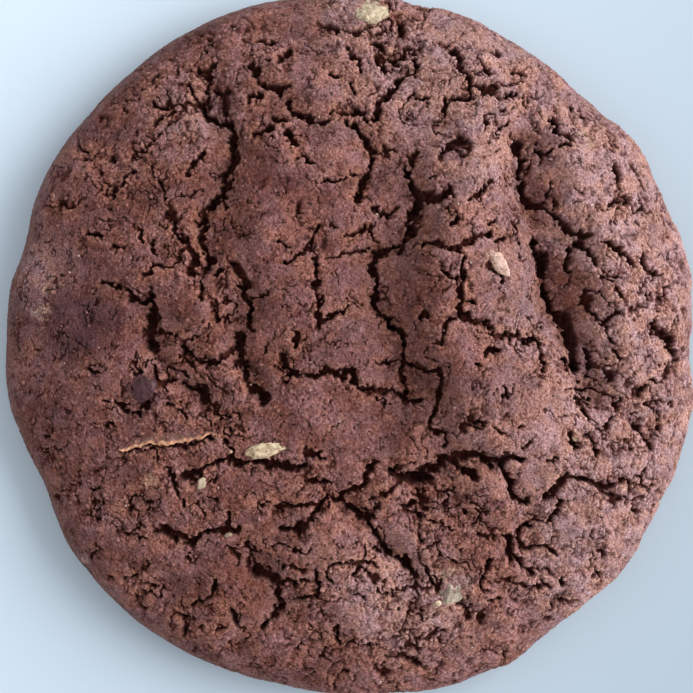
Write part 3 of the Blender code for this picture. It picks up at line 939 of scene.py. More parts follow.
def traced_gaps(places, raised, torn):
    """Depth of the traced cracks, and distance to the nearest one's edge."""
    loose = varied(varied(WIDTH_FACTOR, torn, WIDTH_LAYERS), raised, WIDTH_FRAYS)
    gap, edge = crack_field(torn, np.clip(loose, *WIDTH_LIMITS))
    return gap * np.clip(varied(DEPTH_FACTOR, places, DEPTH_LAYERS), *DEPTH_LIMITS), np.maximum(edge, 0.0)


print("the rim ends", RIM_TO, "mm up at the left and", round(RIM_TO - RIM_DROP, 1), "mm up at the right")

# %% [markdown]
# ## The whole relief
# The steps go from broad to fine, and the finer ones are laid out on the surface as the broader ones
# left it, so that their noise stays even on the walls of the gaps. The crust dips towards every gap,
# and it is rougher beside one. What comes out is how far each place moves, and the values that the
# finish follows later, such as the depth, by which the finish paints shade into the gaps, and the
# crumb's height, by which it paints raised crumb lighter.

# %% The whole relief
WARP = ((8.0, 0.7, 80), (3.0, 0.35, 84))
RIDGE_SCALE = 1.05
SLOW_SWELLS = ((9.0, 0.35, 50), (4.0, 0.2, 51))
BESIDE_REACH = 0.9
CRACK_DIP, CRACK_DIP_REACH = 0.25, 0.5
LOBE_DIP, KNOB_DIP, WEB_DIP_REACH = 0.22, 0.1, 0.3
LOBE_WIDTH, LOBE_WIDENS = 0.7, 0.6
ROUGH_LEAST, ROUGH_CRUMBLY, ROUGH_BESIDE, ROUGH_MOST, WEB_ROUGH_REACH = 0.20, 0.35, 0.6, 1.1, 0.35
HOLE_FACTOR, HOLE_LAYERS = 0.8, ((5.0, 0.3, 46),)
GRAIN, GRAIN_HEIGHT, GRAIN_SEED = 0.32, 0.03, 64
PORE_SEED, PORE_LAYERS, PORE_OPENS, PORE_DEPTH = 63, ((2.2, 0.35, 77),), (2.1, 2.8), 0.12
# Depths at which the painted shade of the gaps, the creases and the pores is full.
GAP_SHADE_AT, CREASE_SHADE_AT, PORE_SHADE_AT = 1.5, 0.9, 0.75
# The crumb value paints raised crumb lighter and its creases darker: painted light and shade, partly drier
# crust.
CRUMB_LEVEL, CRUMB_PAINTED_LIGHT = 0.62, 1.1
# Painted light: the crust is painted paler towards the right side, which faces the light.
PAINTED_LIGHT_RISE, PAINTED_LIGHT_FROM, PAINTED_LIGHT_TO = 0.3, -0.5, 0.9
COLOUR_FADES = 2.5


def colour_values(places):
    """Patches of colour, partly painted light and shade. Those seen from above fade out down the rim."""
    above = ease(places[:, 2], WIDEST_HEIGHT, WIDEST_HEIGHT + COLOUR_FADES)
    return {
        # Pale dry crust and painted light, rising towards the right side, which faces the light.
        "dry": spots(places, DRY_AND_LIT_PX) + PAINTED_LIGHT_RISE * to_the_right(places, PAINTED_LIGHT_FROM, PAINTED_LIGHT_TO),
        "pale": spots(places, PALE_PX) * above,
        # cocoa and brown are partly painted shade: the left third, the rifts and slopes away from the light.
        "cocoa": spots(places, COCOA_AND_SHADE_PX) * above,
        "brown": spots(places, BROWN_AND_SHADE_PX) * above,
    }


def relief(places, normals):
    """How far the relief moves each place, in mm, and the values that the crust's finish follows."""
    above_rim, share = rim_shares(places)
    down = ways_down(normals)
    broad = varied(RIDGE_SCALE * ridges(shifted(places, WARP)), places, SLOW_SWELLS)
    raised = places + normals * (share * broad)[:, None]
    torn = shifted(raised, TEARS)
    gap, edge = traced_gaps(places, raised, torn)
    beside = np.exp(-edge / BESIDE_REACH)
    crumbly = crumbliness(places)

    widen = LOBE_WIDTH + LOBE_WIDENS * crumbly
    lobe, lobe_open, lobe_gap = web("round the lobes", places, torn, crumbly, beside, widen)
    knob, knob_open, knob_gap = web("round the knobs", places, torn, crumbly, beside)
    dip = CRACK_DIP * np.exp(-edge / CRACK_DIP_REACH)
    dip += (LOBE_DIP * lobe_open * np.exp(-lobe / WEB_DIP_REACH)
            + KNOB_DIP * knob_open * np.exp(-knob / WEB_DIP_REACH))
    by_gap = np.maximum.reduce([beside, lobe_open * np.exp(-lobe / WEB_ROUGH_REACH),
                                knob_open * np.exp(-knob / WEB_ROUGH_REACH)])
    rough = np.clip(ROUGH_LEAST + ROUGH_CRUMBLY * crumbly + ROUGH_BESIDE * by_gap, 0.0, ROUGH_MOST)
    sunk = raised + down * (share * (dip + np.maximum.reduce([gap, lobe_gap, knob_gap])))[:, None]

    crumb = lumps(torn, sunk, crumbly, rough)
    fine_webs = [web(kind, places, points, crumbly, beside)[-1]
                 for kind, points in (("hairlines", torn), ("short cracks", torn), ("ticks", raised))]
    small = np.maximum.reduce([lobe_gap, knob_gap, *fine_webs, *pits(torn, crumbly)])
    hole = holes(torn) * varied(HOLE_FACTOR, places, HOLE_LAYERS)
    pore = PORE_DEPTH * ease(varied(noise(sunk, GRAIN, PORE_SEED), places, PORE_LAYERS), *PORE_OPENS)
    gaps = np.maximum(share * np.maximum(gap, small), hole)
    height = share * (broad - dip + crumb) - pore + GRAIN_HEIGHT * noise(sunk, GRAIN, GRAIN_SEED)
    moves = normals * height[:, None] + down * gaps[:, None]
    # These depths also set the painted shade that darkens gaps, creases, holes and pores in the finish.
    depths = [share * gap / GAP_SHADE_AT, share * small / CREASE_SHADE_AT, hole / CREASE_SHADE_AT,
              pore / PORE_SHADE_AT]
    values = {
        "depth": np.maximum.reduce(depths),
        "torn": rough * above_rim,
        # Raised crumb is painted lighter and low crumb darker: painted light and shade, partly drier crust.
        "crumb": CRUMB_LEVEL + CRUMB_PAINTED_LIGHT * share * crumb,
        "rim": 1.0 - above_rim,
        **colour_values(places),
    }
    return moves, values


crown_moves, _ = relief(np.array([(0.0, 0.0, CROWN_HEIGHT)]), np.array([(0.0, 0.0, 1.0)]))
print("the relief moves the middle of the crown by", crown_moves[0].round(2), "mm")

# %% [markdown]
# ## The crust in six wedges
# A surface this fine has a million triangles, and one mesh of that size is heavy to work with, so the
# crust is cut like a cake into six wedges, and the flat base is a piece of its own. Each wedge starts
# from faces of one coarse icosphere, whose zigzag edges it shares with its neighbours. Subdividing
# them and pushing the new points back onto the sphere gives even triangles of about 0.15 mm.

# %% Meshes, objects and the faces of a wedge
COARSE_CUTS = 4
FINE_CUTS = 31
BASE_CUTS = 3
WEDGES = 6
WEDGE_TURN = 0.25
BASE_MARGIN = 0.02


def new_mesh(name, form):
    """A bmesh as a mesh. It uses the bmesh up."""
    mesh = bpy.data.meshes.new(name)
    form.to_mesh(mesh)
    form.free()
    return mesh


def new_object(name, data):
    """A mesh, a light or a camera as an object in the scene."""
    thing = bpy.data.objects.new(name, data)
    bpy.context.scene.collection.objects.link(thing)
    return thing


def rows(collection, name):
    """A mesh layer's vectors as rows."""
    flat = np.empty(len(collection) * 3)
    collection.foreach_get(name, flat)
    return flat.reshape(-1, 3)


def store(mesh, name, values):
    """Keep a value for each of a mesh's points."""
    layer = mesh.attributes.new(name, "FLOAT", "POINT")
    layer.data.foreach_set("value", np.clip(values, 0.0, 1.0).astype(np.float32))


def which_wedge(direction):
    """The number of the wedge that a direction falls in, or the last number for the base."""
    if (1.0 - direction.z) / 2.0 > BASE_SHARE + BASE_MARGIN:
        return WEDGES
    return int((math.atan2(direction.y, direction.x) / math.tau + 1.0) * WEDGES + WEDGE_TURN) % WEDGES


def sphere_patch(number, cuts):
    """The faces of one wedge of a unit icosphere, subdivided."""
    patch = bmesh.new()
    bmesh.ops.create_icosphere(patch, subdivisions=COARSE_CUTS, radius=1.0)
    others = [f for f in patch.faces if which_wedge(f.calc_center_median().normalized()) != number]
    bmesh.ops.delete(patch, geom=others, context="FACES")
    bmesh.ops.subdivide_edges(patch, edges=patch.edges[:], cuts=cuts, use_grid_fill=True)
    return patch


print("a coarse face becomes", (FINE_CUTS + 1) ** 2, "triangles on top and", (BASE_CUTS + 1) ** 2, "below")

# %% [markdown]
# Every piece gets its relief in the same way. The relief fades out towards the foot, so that the base
# stays flat. What the finish follows is stored with the points, and a UV map unrolls the surface round
# the crown, so that the finish can be baked onto it.

# %% Wedges and base
FOOT_RELIEF = (0.3, 2.2)
UV_SPAN, UV_MARGIN = 0.98, 0.01


def flattened(directions):
    """The surface rolled out flat round the crown, for a UV map."""
    reach = np.interp((1.0 - directions[:, 2]) / 2.0, AREA, LENGTH)
    angle = np.arctan2(directions[:, 1], directions[:, 0])
    return np.column_stack([reach * np.cos(angle), reach * np.sin(angle)])


def map_flat(mesh, flat):
    """A UV map from flat places, within a small margin."""
    flat = (flat - flat.min(axis=0)) / np.ptp(flat, axis=0).max() * UV_SPAN + UV_MARGIN
    corners = np.empty(len(mesh.loops), dtype=np.int32)
    mesh.loops.foreach_get("vertex_index", corners)
    mesh.uv_layers.new(name="OFBake").data.foreach_set("uv", flat[corners].ravel())


def crust_piece(name, number, cuts):
    """One piece of the crust, with its relief, its stored values and its UV map."""
    mesh = new_mesh(name, sphere_patch(number, cuts))
    directions = rows(mesh.vertices, "co")
    directions /= np.linalg.norm(directions, axis=1)[:, None]
    places = plain_round(directions)
    moves, values = relief(places, round_normals(directions))
    moved = places + moves * ease(places[:, 2], *FOOT_RELIEF)[:, None]
    moved[:, 2] = np.maximum(moved[:, 2], 0.0)
    mesh.vertices.foreach_set("co", (moved * MM).ravel())
    for value_name, value in values.items():
        store(mesh, value_name, value)
    map_flat(mesh, moved[:, :2] if number == WEDGES else flattened(directions))
    mesh.update()
    mesh.shade_smooth()
    print(name, "triangles:", len(mesh.polygons))
    return new_object(name, mesh), moved, values


wedges = [crust_piece(f"fudge_crust_{number + 1}", number, FINE_CUTS) for number in range(WEDGES)]
base = crust_piece("baked_base", WEDGES, BASE_CUTS)[0]
crust_pieces = [wedge for wedge, _, _ in wedges] + [base]
crust_points = np.vstack([points for _, points, _ in wedges])
# Pale dry crust and painted light on the side towards the light, for the loose crumbs too.
crust_dry_and_lit = np.concatenate([values["dry"] for _, _, values in wedges])
crust_rough = np.concatenate([values["torn"] * (1.0 - np.clip(values["depth"], 0.0, 1.0))
                              for _, _, values in wedges])

# %% [markdown]
# ## Finishes
# Colours are written as the hex numbers that a picture program shows and turned into the linear
# values that the shader works in. One small function adds a node with its settings and links, and
# the others put a few nodes together. Patterns read Object coordinates, which are metres here, and
# their scales come from the real size of the grain.

# %% Colours, nodes and shaders
def linear(hex_colour):
    """An sRGB hex colour as linear red, green, blue and alpha."""
    parts = [int(hex_colour[i:i + 2], 16) / 255.0 for i in (0, 2, 4)]
    return [p / 12.92 if p <= 0.04045 else ((p + 0.055) / 1.055) ** 2.4 for p in parts] + [1.0]


def add(tree, kind, inputs=None, output=0, **settings):
    """Add a node with its settings, values and links, and hand on one of its outputs."""
    made = tree.nodes.new(kind)
    for name, value in settings.items():
        setattr(made, name, value)
    for name, value in (inputs or {}).items():
        if isinstance(value, bpy.types.NodeSocket):
            tree.links.new(value, made.inputs[name])
        else:
            made.inputs[name].default_value = value
    return made.outputs[output]


def new_material(name, roughness, specular, sheen=None):
    """A material's node tree, its shader and its Object coordinates."""
    material = bpy.data.materials.new(name)
    material.use_nodes = True
    tree = material.node_tree
    shader = tree.nodes["Principled BSDF"]
    values = {"Roughness": roughness, "Specular IOR Level": specular, **(sheen or {})}
    for socket, value in values.items():
        shader.inputs[socket].default_value = value
    return material, tree, shader, add(tree, "ShaderNodeTexCoord", output="Object")


def connect(tree, shader, sockets):
    """Link what a finish has worked out to the shader."""
    for socket, value in sockets.items():
        tree.links.new(value, shader.inputs[socket])


print("a cocoa brown, linear:", [round(c, 3) for c in linear("6d4b46")])

# %% [markdown]
# ### Grain, stored values and layers
# A finish is built like paint. Grain of one size, or a value that the relief stored, is eased to a
# share from 0 to 1, and by that share one colour is laid over another. Bumps are grain too, and their
# depth is a real one in millimetres.

# %% Grain, stored values and layers
def of_size(place, size, detail=3.0, roughness=0.55):
    """What makes a noise texture's features about one size in millimetres."""
    return {"Vector": place, "Scale": 1.0 / (size * MM), "Detail": detail, "Roughness": roughness}


def from_to(value, start, end, low=0.0, high=1.0):
    """What makes a value go from low at start to high at end."""
    return {"Value": value, "From Min": start, "From Max": end, "To Min": low, "To Max": high}


def grain(tree, texture, *span):
    """Grain with soft borders."""
    speckle = add(tree, "ShaderNodeTexNoise", texture, "Fac")
    return add(tree, "ShaderNodeMapRange", from_to(speckle, *span), interpolation_type="SMOOTHSTEP")


def stored(tree, name, *span):
    """A value that was stored with the surface."""
    value = add(tree, "ShaderNodeAttribute", output="Fac", attribute_name=name)
    return add(tree, "ShaderNodeMapRange", from_to(value, *span), interpolation_type="SMOOTHSTEP")


def layered(tree, colour, *layers, blend="MIX"):
    """A colour with others over it, each by its share. A mix node's colours are its inputs 6 and 7."""
    for share, tone in layers:
        mixed = {0: share, 6: colour, 7: tone}
        colour = add(tree, "ShaderNodeMix", mixed, 2, data_type="RGBA", blend_type=blend)
    return colour


def bumps(tree, texture, strength, depth):
    """Bumps in the shape of a noise texture."""
    height = add(tree, "ShaderNodeTexNoise", texture, "Fac")
    return add(tree, "ShaderNodeBump", {"Height": height, "Strength": strength, "Distance": depth * MM})


print("a grain of 0.3 mm has the scale", round(of_size(None, 0.3)["Scale"]), "to the metre")

# %% [markdown]
# ### Baked cocoa crumb
# The plates have a dull purple brown skin, the torn dough beside the cracks is warmer, and the smooth
# rim is tan. Painted shade makes the cracks, creases, holes and pores nearly black, and raised crumb is
# painted lighter than its creases, partly as drier crust and partly as light and shade. Over all of it
# lies a fine grain of darker pores and lighter crumbs a quarter of a millimetre wide, which is bumpy as
# well as coloured. The specks change blue most and red least, as a thin brown crust does.

# %% Colour of the crust
PLATE_DARK, PLATE_LIGHT = linear("572b27"), linear("a4756f")
TORN_DARK, TORN_LIGHT = linear("5e281a"), linear("bb8879")
# Pale colour of dry crust and painted light, laid over raised crumb and the side towards the light.
DRY_CRUST_AND_PAINTED_LIGHT = linear("dab6b0")
RIM_TAN = linear("7f5b51")
# Chocolate under the dough, and painted shade over the left third.
COCOA_AND_SHADE = linear("54363a")
# Moist dough, and painted shade in the rifts and on slopes away from the light.
MOIST_BROWN_AND_SHADE = linear("6a3828")
NUT_SHOWING = linear("c3a48f")
WARM, COOL = linear("fff0e5"), linear("f4f0fc")
# Painted shade: the near black that fills the cracks, creases, holes and pores, where shade falls.
GAP_PAINTED_SHADE = linear("541a0e")
DUSTY = linear("d6bfb9")
# Raised crumb is painted lighter than its creases: painted light and shade, partly drier crust.
RAISED_PAINTED_LIGHT = 0.6
SPECK_POWERS = {"Red": 0.75, "Green": 1.0, "Blue": 1.15}


def crust_colour(tree, place):
    """Plates, torn dough and patches partly painted light and shade, then specks, and the gaps' painted
    shade last.
    """
    math_node = "ShaderNodeMath"
    # Raised crumb gets the lighter colours and low crumb the darker ones: painted light and shade.
    raised = stored(tree, "crumb", 0.3, 0.75)
    uneven = {0: grain(tree, of_size(place, 1.2, 4.0), 0.3, 0.7),
              1: grain(tree, of_size(place, 7.0, 2.0), 0.35, 0.65)}
    uneven = add(tree, math_node, uneven, operation="ADD")
    high = add(tree, math_node, {0: raised, 1: RAISED_PAINTED_LIGHT}, operation="MULTIPLY")
    light = add(tree, math_node, {0: uneven, 1: high}, operation="MULTIPLY")
    # Dry crust and painted light: paler on raised crumb and towards the lit right side.
    dry = {0: stored(tree, "dry", 0.0, 1.0, 0.0, 0.6), 1: raised}
    dry = add(tree, math_node, dry, operation="MULTIPLY")
    pale = {0: add(tree, "ShaderNodeAttribute", output="Fac", attribute_name="pale"),
            1: grain(tree, of_size(place, 1.0), 0.35, 0.6)}
    pale = add(tree, math_node, pale, operation="MULTIPLY")
    nut = add(tree, "ShaderNodeMapRange", from_to(pale, 0.15, 0.6, 0.0, 0.7),
              interpolation_type="SMOOTHSTEP")
    colour = layered(
        tree,
        layered(tree, PLATE_DARK, (light, PLATE_LIGHT)),
        (stored(tree, "torn", 0.15, 0.95, 0.0, 0.8), layered(tree, TORN_DARK, (raised, TORN_LIGHT))),
        (dry, DRY_CRUST_AND_PAINTED_LIGHT),
        (stored(tree, "rim", 0.3, 1.0, 0.0, 0.6), RIM_TAN),
        (stored(tree, "cocoa", 0.1, 0.8, 0.0, 0.75), COCOA_AND_SHADE),
        (stored(tree, "brown", 0.0, 1.0, 0.0, 0.5), MOIST_BROWN_AND_SHADE),
        (nut, NUT_SHOWING),
    )
    specks = {0: grain(tree, of_size(place, 0.30, 2.0, 0.6), 0.3, 0.7, 0.67, 1.33),
              1: grain(tree, of_size(place, 0.17, 1.0), 0.3, 0.7, 0.72, 1.28)}
    specks = add(tree, math_node, specks, operation="MULTIPLY")
    channels = {name: add(tree, math_node, {0: specks, 1: power}, operation="POWER")
                for name, power in SPECK_POWERS.items()}
    speckled = add(tree, "ShaderNodeCombineColor", channels)
    warmth = layered(tree, WARM, (grain(tree, of_size(place, 2.5), 0.38, 0.62), COOL))
    colour = layered(tree, colour, (1.0, speckled), (1.0, warmth), blend="MULTIPLY")
    # Last, painted shade: the deeper a gap, crease, hole or pore, the nearer its colour is to near black.
    return layered(tree, colour, (stored(tree, "depth", 0.12, 0.95, 0.0, 0.9), GAP_PAINTED_SHADE))


print("specks darken and lighten red, green and blue by the powers", list(SPECK_POWERS.values()))

# %% [markdown]
# The material adds what isn't colour. Its sheen is the bloom of cocoa and flour dust that shows at a
# glancing angle, torn dough is rougher than skin, and the bumps have the grain's own size. All pieces
# of the crust share it.

# %% Finish of the crust
def baked_crumb(name):
    """Dry baked dough. It is dull and rough, with a faint dusty sheen where it is seen at an angle."""
    sheen = {"Sheen Weight": 0.14, "Sheen Roughness": 0.45, "Sheen Tint": DUSTY}
    material, tree, shader, place = new_material(name, 0.8, 0.15, sheen)
    connect(tree, shader, {
        "Base Color": crust_colour(tree, place),
        "Roughness": stored(tree, "torn", 0.1, 0.9, 0.6, 0.85),
        "Normal": bumps(tree, of_size(place, 0.26, roughness=0.6), 1.0, 0.34),
    })
    return material


def finish_piece(piece, material):
    """Give a piece its finish, its body and its place in the part."""
    piece.data.materials.clear()
    piece.data.materials.append(material)
    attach(piece, "root")
    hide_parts("cookie")


crumb_finish = baked_crumb("baked_cocoa_crumb")
for piece in crust_pieces:
    finish_piece(piece, crumb_finish)
print("nodes in the crust's finish:", len(crumb_finish.node_tree.nodes))

# %% [markdown]
# ## Loose crumbs and sugar
# Crumbs the size of sand lie where the crust is torn, and a few sugar crystals lie between them. One
# chip is a small icosphere or cube whose points are pushed about, and it is set down many times at
# random, more often where the crust is rough. A crumb has only twenty faces, because thousands of them
# are needed, and they all end up in one mesh.

# %% Crumbs and sugar
CRUMBS = 9000
CRUMB_RADII, CRUMB_SQUASH, CRUMB_SEED = (0.07, 0.32), 0.35, 90
SUGAR_GRAINS = 120
SUGAR_RADII, SUGAR_SQUASH, SUGAR_SEED = (0.05, 0.12), 0.3, 91
SUGAR_SIDE = 1.6
MOSTLY_SMALL = 2.5
PUSH = 0.15
CHIP_LIFT = 0.2
CHIP_TONES, CHIP_TORN = (0.4, 0.8), 0.6
STREWN_FROM = 7.3
ELSEWHERE_CRUMBS, ELSEWHERE_SUGAR = 0.002, 0.05


def strewn(name, chip, count, radii, squash, seed, chances):
    """Copies of a chip set down at random on the crust, as one piece. It uses the chip up."""
    random = np.random.default_rng(SEED + seed)
    chip_mesh = new_mesh("chip", chip)
    form = rows(chip_mesh.vertices, "co")
    heap = bmesh.new()
    chosen = random.choice(len(crust_points), count, replace=False, p=chances / chances.sum())
    for spot in chosen:
        turn = np.linalg.qr(random.normal(size=(3, 3)))[0]
        turn *= np.sign(np.linalg.det(turn))
        radius = radii[0] + (radii[1] - radii[0]) * random.uniform() ** MOSTLY_SMALL
        body = form * random.uniform(1.0 - squash, 1.0 + squash, 3) + random.uniform(-PUSH, PUSH, form.shape)
        body = body @ turn * radius + crust_points[spot] + (0.0, 0.0, CHIP_LIFT * radius)
        chip_mesh.vertices.foreach_set("co", (body * MM).ravel())
        heap.from_mesh(chip_mesh)
    bpy.data.meshes.remove(chip_mesh)
    mesh = new_mesh(name, heap)
    # The crumbs take the crust's pale dry colour and its painted light.
    store(mesh, "dry", np.repeat(crust_dry_and_lit[chosen], len(form)))
    store(mesh, "crumb", np.repeat(random.uniform(*CHIP_TONES, count), len(form)))
    store(mesh, "torn", np.full(len(mesh.vertices), CHIP_TORN))
    print(name, "triangles:", sum(len(p.vertices) - 2 for p in mesh.polygons))
    return new_object(name, mesh)


def sugar_crystal():
    """Clear to white crystals with cocoa dust on them, so that they look pale pink."""
    material, tree, shader, place = new_material("dusted_sugar", 0.35, 0.5)
    dusted = grain(tree, of_size(place, 0.5), 0.35, 0.65)
    connect(tree, shader, {"Base Color": layered(tree, linear("c09a8e"), (dusted, linear("e2d0c7")))})
    return material


on_top = crust_points[:, 2] > STREWN_FROM
crumb_chip = bmesh.new()
bmesh.ops.create_icosphere(crumb_chip, subdivisions=1, radius=1.0)
crumbs = strewn("loose_crumbs", crumb_chip, CRUMBS, CRUMB_RADII, CRUMB_SQUASH, CRUMB_SEED,
                on_top * (crust_rough ** 2 + ELSEWHERE_CRUMBS))
finish_piece(crumbs, baked_crumb("broken_cocoa_crumb"))
sugar_chip = bmesh.new()
bmesh.ops.create_cube(sugar_chip, size=SUGAR_SIDE)
sugar = strewn("sugar_crystals", sugar_chip, SUGAR_GRAINS, SUGAR_RADII, SUGAR_SQUASH, SUGAR_SEED,
               on_top * (crust_rough + ELSEWHERE_SUGAR))
finish_piece(sugar, sugar_crystal())

# %% [markdown]
# ## Nuts and chocolate
# A few pieces of pale nut and one chunk of dark chocolate stand out of the crust. A broken nut has flat
# faces where it split, so each piece is an icosphere that planes have cut, stretched to its length,
# width and height and roughened a little. It sits partly sunk in the crust and leans with the dome.

# %% Nuts, chocolate and how they split
# Place in the photograph's pixels; length, width and height; turn in degrees; how far its middle is
# above the crust, over its height; and from -1, grey, over 0, cream, to 1, rosy.
NUTS = {
    "sliver": ((267, 450), (5.3, 2.0, 1.3), 9, 0.2, 0.0),
    "bit beside the sliver": ((228, 452), (1.1, 0.6, 0.5), 0, 0.3, 0.3),
    "right plate": ((499, 263), (4.2, 2.0, 1.6), -58, 0.0, 1.0),
    "top edge": ((370, 10), (4.6, 4.3, 1.6), 10, -0.34, -0.4),
    "lower right lump": ((451, 594), (3.0, 2.7, 1.9), 20, -0.15, -1.0),
    "lower right bit": ((437, 603), (1.1, 0.9, 0.7), 30, 0.2, 0.5),
    "lower left": ((202, 485), (1.2, 1.9, 1.0), -10, 0.1, -0.5),
    "crumb of nut, right": ((575, 438), (0.9, 0.8, 0.6), 0, 0.3, -0.5),
    "crumb of nut, below the gap": ((228, 536), (1.0, 0.7, 0.5), 10, 0.1, -0.6),
    "crumb of nut, left": ((159, 338), (0.6, 0.4, 0.35), 0, 0.3, 0.2),
}
NUT_SEED, NUT_SEED_STEP, NUT_CUTS = 300, 5, 7
CHOCOLATE = ((142, 388), (3.7, 3.3, 1.5), 35, -0.25, 0.0)
CHOCOLATE_SEED, CHOCOLATE_CUTS = 400, 6
LUMP_FINENESS = 4
CUT_AT = (0.6, 0.85)
LONG_EDGE, LONG_EDGE_CUTS = 0.2, 3


def split_lump(sizes, seed, cuts):
    """A lump with flat faces where it split, and the places of its roughened points."""
    random = np.random.default_rng(SEED + seed)
    lump = bmesh.new()
    bmesh.ops.create_icosphere(lump, subdivisions=LUMP_FINENESS, radius=1.0)
    for _ in range(cuts):
        way = Vector(random.normal(size=3)).normalized()
        geometry = lump.verts[:] + lump.edges[:] + lump.faces[:]
        cut = bmesh.ops.bisect_plane(lump, geom=geometry, plane_co=way * random.uniform(*CUT_AT),
                                     plane_no=way, clear_outer=True)
        rim = [e for e in cut["geom_cut"] if isinstance(e, bmesh.types.BMEdge)]
        if rim:
            bmesh.ops.edgeloop_fill(lump, edges=rim)
    bmesh.ops.triangulate(lump, faces=lump.faces[:])
    long_edges = [e for e in lump.edges if e.calc_length() > LONG_EDGE]
    bmesh.ops.subdivide_edges(lump, edges=long_edges, cuts=LONG_EDGE_CUTS)
    bmesh.ops.triangulate(lump, faces=lump.faces[:])
    points = np.array([v.co[:] for v in lump.verts]) * np.array(sizes) / 2.0
    return lump, points * varied(1.0, points, ((0.7, 0.06, seed), (0.25, 0.025, seed + 1)))[:, None]


print("pieces of nut:", len(NUTS))

# %% [markdown]
# Each piece is turned, leant outwards as the dome falls away there, and set down at the crust's own
# level. The pieces of nut are one mesh in the end, and each keeps a tint for its finish.

# %% Pieces on the crust
LEVEL_WITHIN = 0.9
LEAN_STEP = 0.5


def crust_level(x, y):
    """Height of the crust round a place in plan."""
    near = np.hypot(crust_points[:, 0] - x, crust_points[:, 1] - y) < LEVEL_WITHIN
    return float(np.median(crust_points[near & (crust_points[:, 2] > WIDEST_HEIGHT), 2]))


def on_the_crust(place_px, turn, lift):
    """The way from a piece's own middle to its place on the crust, turned and leaning."""
    x, y = plan(place_px)
    radius = math.hypot(x, y)
    fall = (dome_height(radius - LEAN_STEP) - dome_height(radius + LEAN_STEP)) / (2.0 * LEAN_STEP)
    lean = Vector((0.0, 0.0, 1.0)).rotation_difference(Vector((x * fall / radius, y * fall / radius, 1.0)))
    leaning = Matrix.Translation((x, y, crust_level(x, y))) @ lean.to_matrix().to_4x4()
    return leaning @ Matrix.Rotation(math.radians(turn), 4, "Z") @ Matrix.Translation((0.0, 0.0, lift))


def broken_piece(heap, place_px, sizes, turn, lift, rosy, seed, cuts):
    """A split and roughened lump, added to a heap."""
    lump, points = split_lump(sizes, seed, cuts)
    matrix = on_the_crust(place_px, turn, lift * sizes[2])
    tint = lump.verts.layers.float.new("rosy")
    for vertex, point in zip(lump.verts, points):
        vertex.co = matrix @ Vector(point) * MM
        vertex[tint] = 0.5 + 0.5 * rosy
    bmesh.ops.recalc_face_normals(lump, faces=lump.faces[:])
    mesh = new_mesh("lump", lump)
    heap.from_mesh(mesh)
    bpy.data.meshes.remove(mesh)


def heap_piece(name, heap):
    """A heap of triangles as a piece."""
    piece = new_object(name, new_mesh(name, heap))
    print(name, "triangles:", len(piece.data.polygons))
    return piece


nut_heap = bmesh.new()
for number, nut in enumerate(NUTS.values()):
    broken_piece(nut_heap, *nut, NUT_SEED + NUT_SEED_STEP * number, NUT_CUTS)
nuts = heap_piece("nut_pieces", nut_heap)
chocolate_heap = bmesh.new()
broken_piece(chocolate_heap, *CHOCOLATE, CHOCOLATE_SEED, CHOCOLATE_CUTS)
chocolate = heap_piece("chocolate_chunk", chocolate_heap)

# %% [markdown]
# ## The torn flake
# A thin flake of crust lifted along its lower edge and dried to an orange tan there, which its finish
# paints brighter as a highlight of the light on the lip. It is a long grid between two lines: the lip,
# which is traced and stands clear, and the root, which is sunk in the crust. Noise frays the lip, and
# solidify gives the flake its thickness.

# %% Torn flake
FLAKE_LIP_PX = [(119, 451), (128, 449), (138, 446), (150, 444), (158, 446), (168, 445), (180, 442),
                (195, 440), (206, 437), (216, 434)]
FLAKE_WIDTH, FLAKE_LIFT, FLAKE_THICKNESS = 1.6, 0.35, 0.3
FLAKE_ENDS = (0.12, 0.9)
FLAKE_WAY = (0.15, 1.0)
FLAKE_GRID = (150, 14)
FLAKE_ARCH = 0.25
FRAY, FRAY_SIZE, FRAY_SEED = 0.16, 0.9, 501
FLAKE_WAVES = ((1.2, 0.10, 502), (0.5, 0.05, 503))


def flake_edges():
    """Lip and root of the flake: the root lies further in by a width that narrows to both ends."""
    lip = np.array([plan(place) for place in FLAKE_LIP_PX])
    narrows = np.sin(np.linspace(*FLAKE_ENDS, len(lip)) * math.pi)[:, None]
    root = lip + np.array([FLAKE_WAY]) * narrows * FLAKE_WIDTH
    lip_level = [crust_level(*place) + FLAKE_LIFT for place in lip]
    root_level = [crust_level(*place) - FLAKE_THICKNESS for place in root]
    return np.column_stack([lip, lip_level]), np.column_stack([root, root_level])


def torn_flake():
    """A thin strip of crust that lifted along its lower edge."""
    strip = bmesh.new()
    bmesh.ops.create_grid(strip, x_segments=FLAKE_GRID[0], y_segments=FLAKE_GRID[1], size=0.5)
    along, inward = (np.array([v.co[:2] for v in strip.verts]) + 0.5).T
    station = np.linspace(0.0, 1.0, len(FLAKE_LIP_PX))
    lip, root = [np.column_stack([np.interp(along, station, column) for column in edge.T])
                 for edge in flake_edges()]
    points = lip * (1.0 - inward[:, None]) + root * inward[:, None]
    points[:, 2] += FLAKE_ARCH * np.sin(math.pi * inward)
    points[:, 1] += (1.0 - inward) * FRAY * rough_noise(points, FRAY_SIZE, FRAY_SEED, 3)
    points[:, 2] += varied(0.0, points, FLAKE_WAVES)
    lip_layer = strip.verts.layers.float.new("lip")
    for vertex, point, share in zip(strip.verts, points, inward):
        vertex.co = point * MM
        vertex[lip_layer] = 1.0 - share
    bmesh.ops.recalc_face_normals(strip, faces=strip.faces[:])
    if strip.faces[0].normal.z < 0.0:
        bmesh.ops.reverse_faces(strip, faces=strip.faces[:])
    bmesh.ops.solidify(strip, geom=strip.faces[:], thickness=FLAKE_THICKNESS * MM)
    bmesh.ops.triangulate(strip, faces=strip.faces[:])
    return heap_piece("torn_flake", strip)


flake = torn_flake()

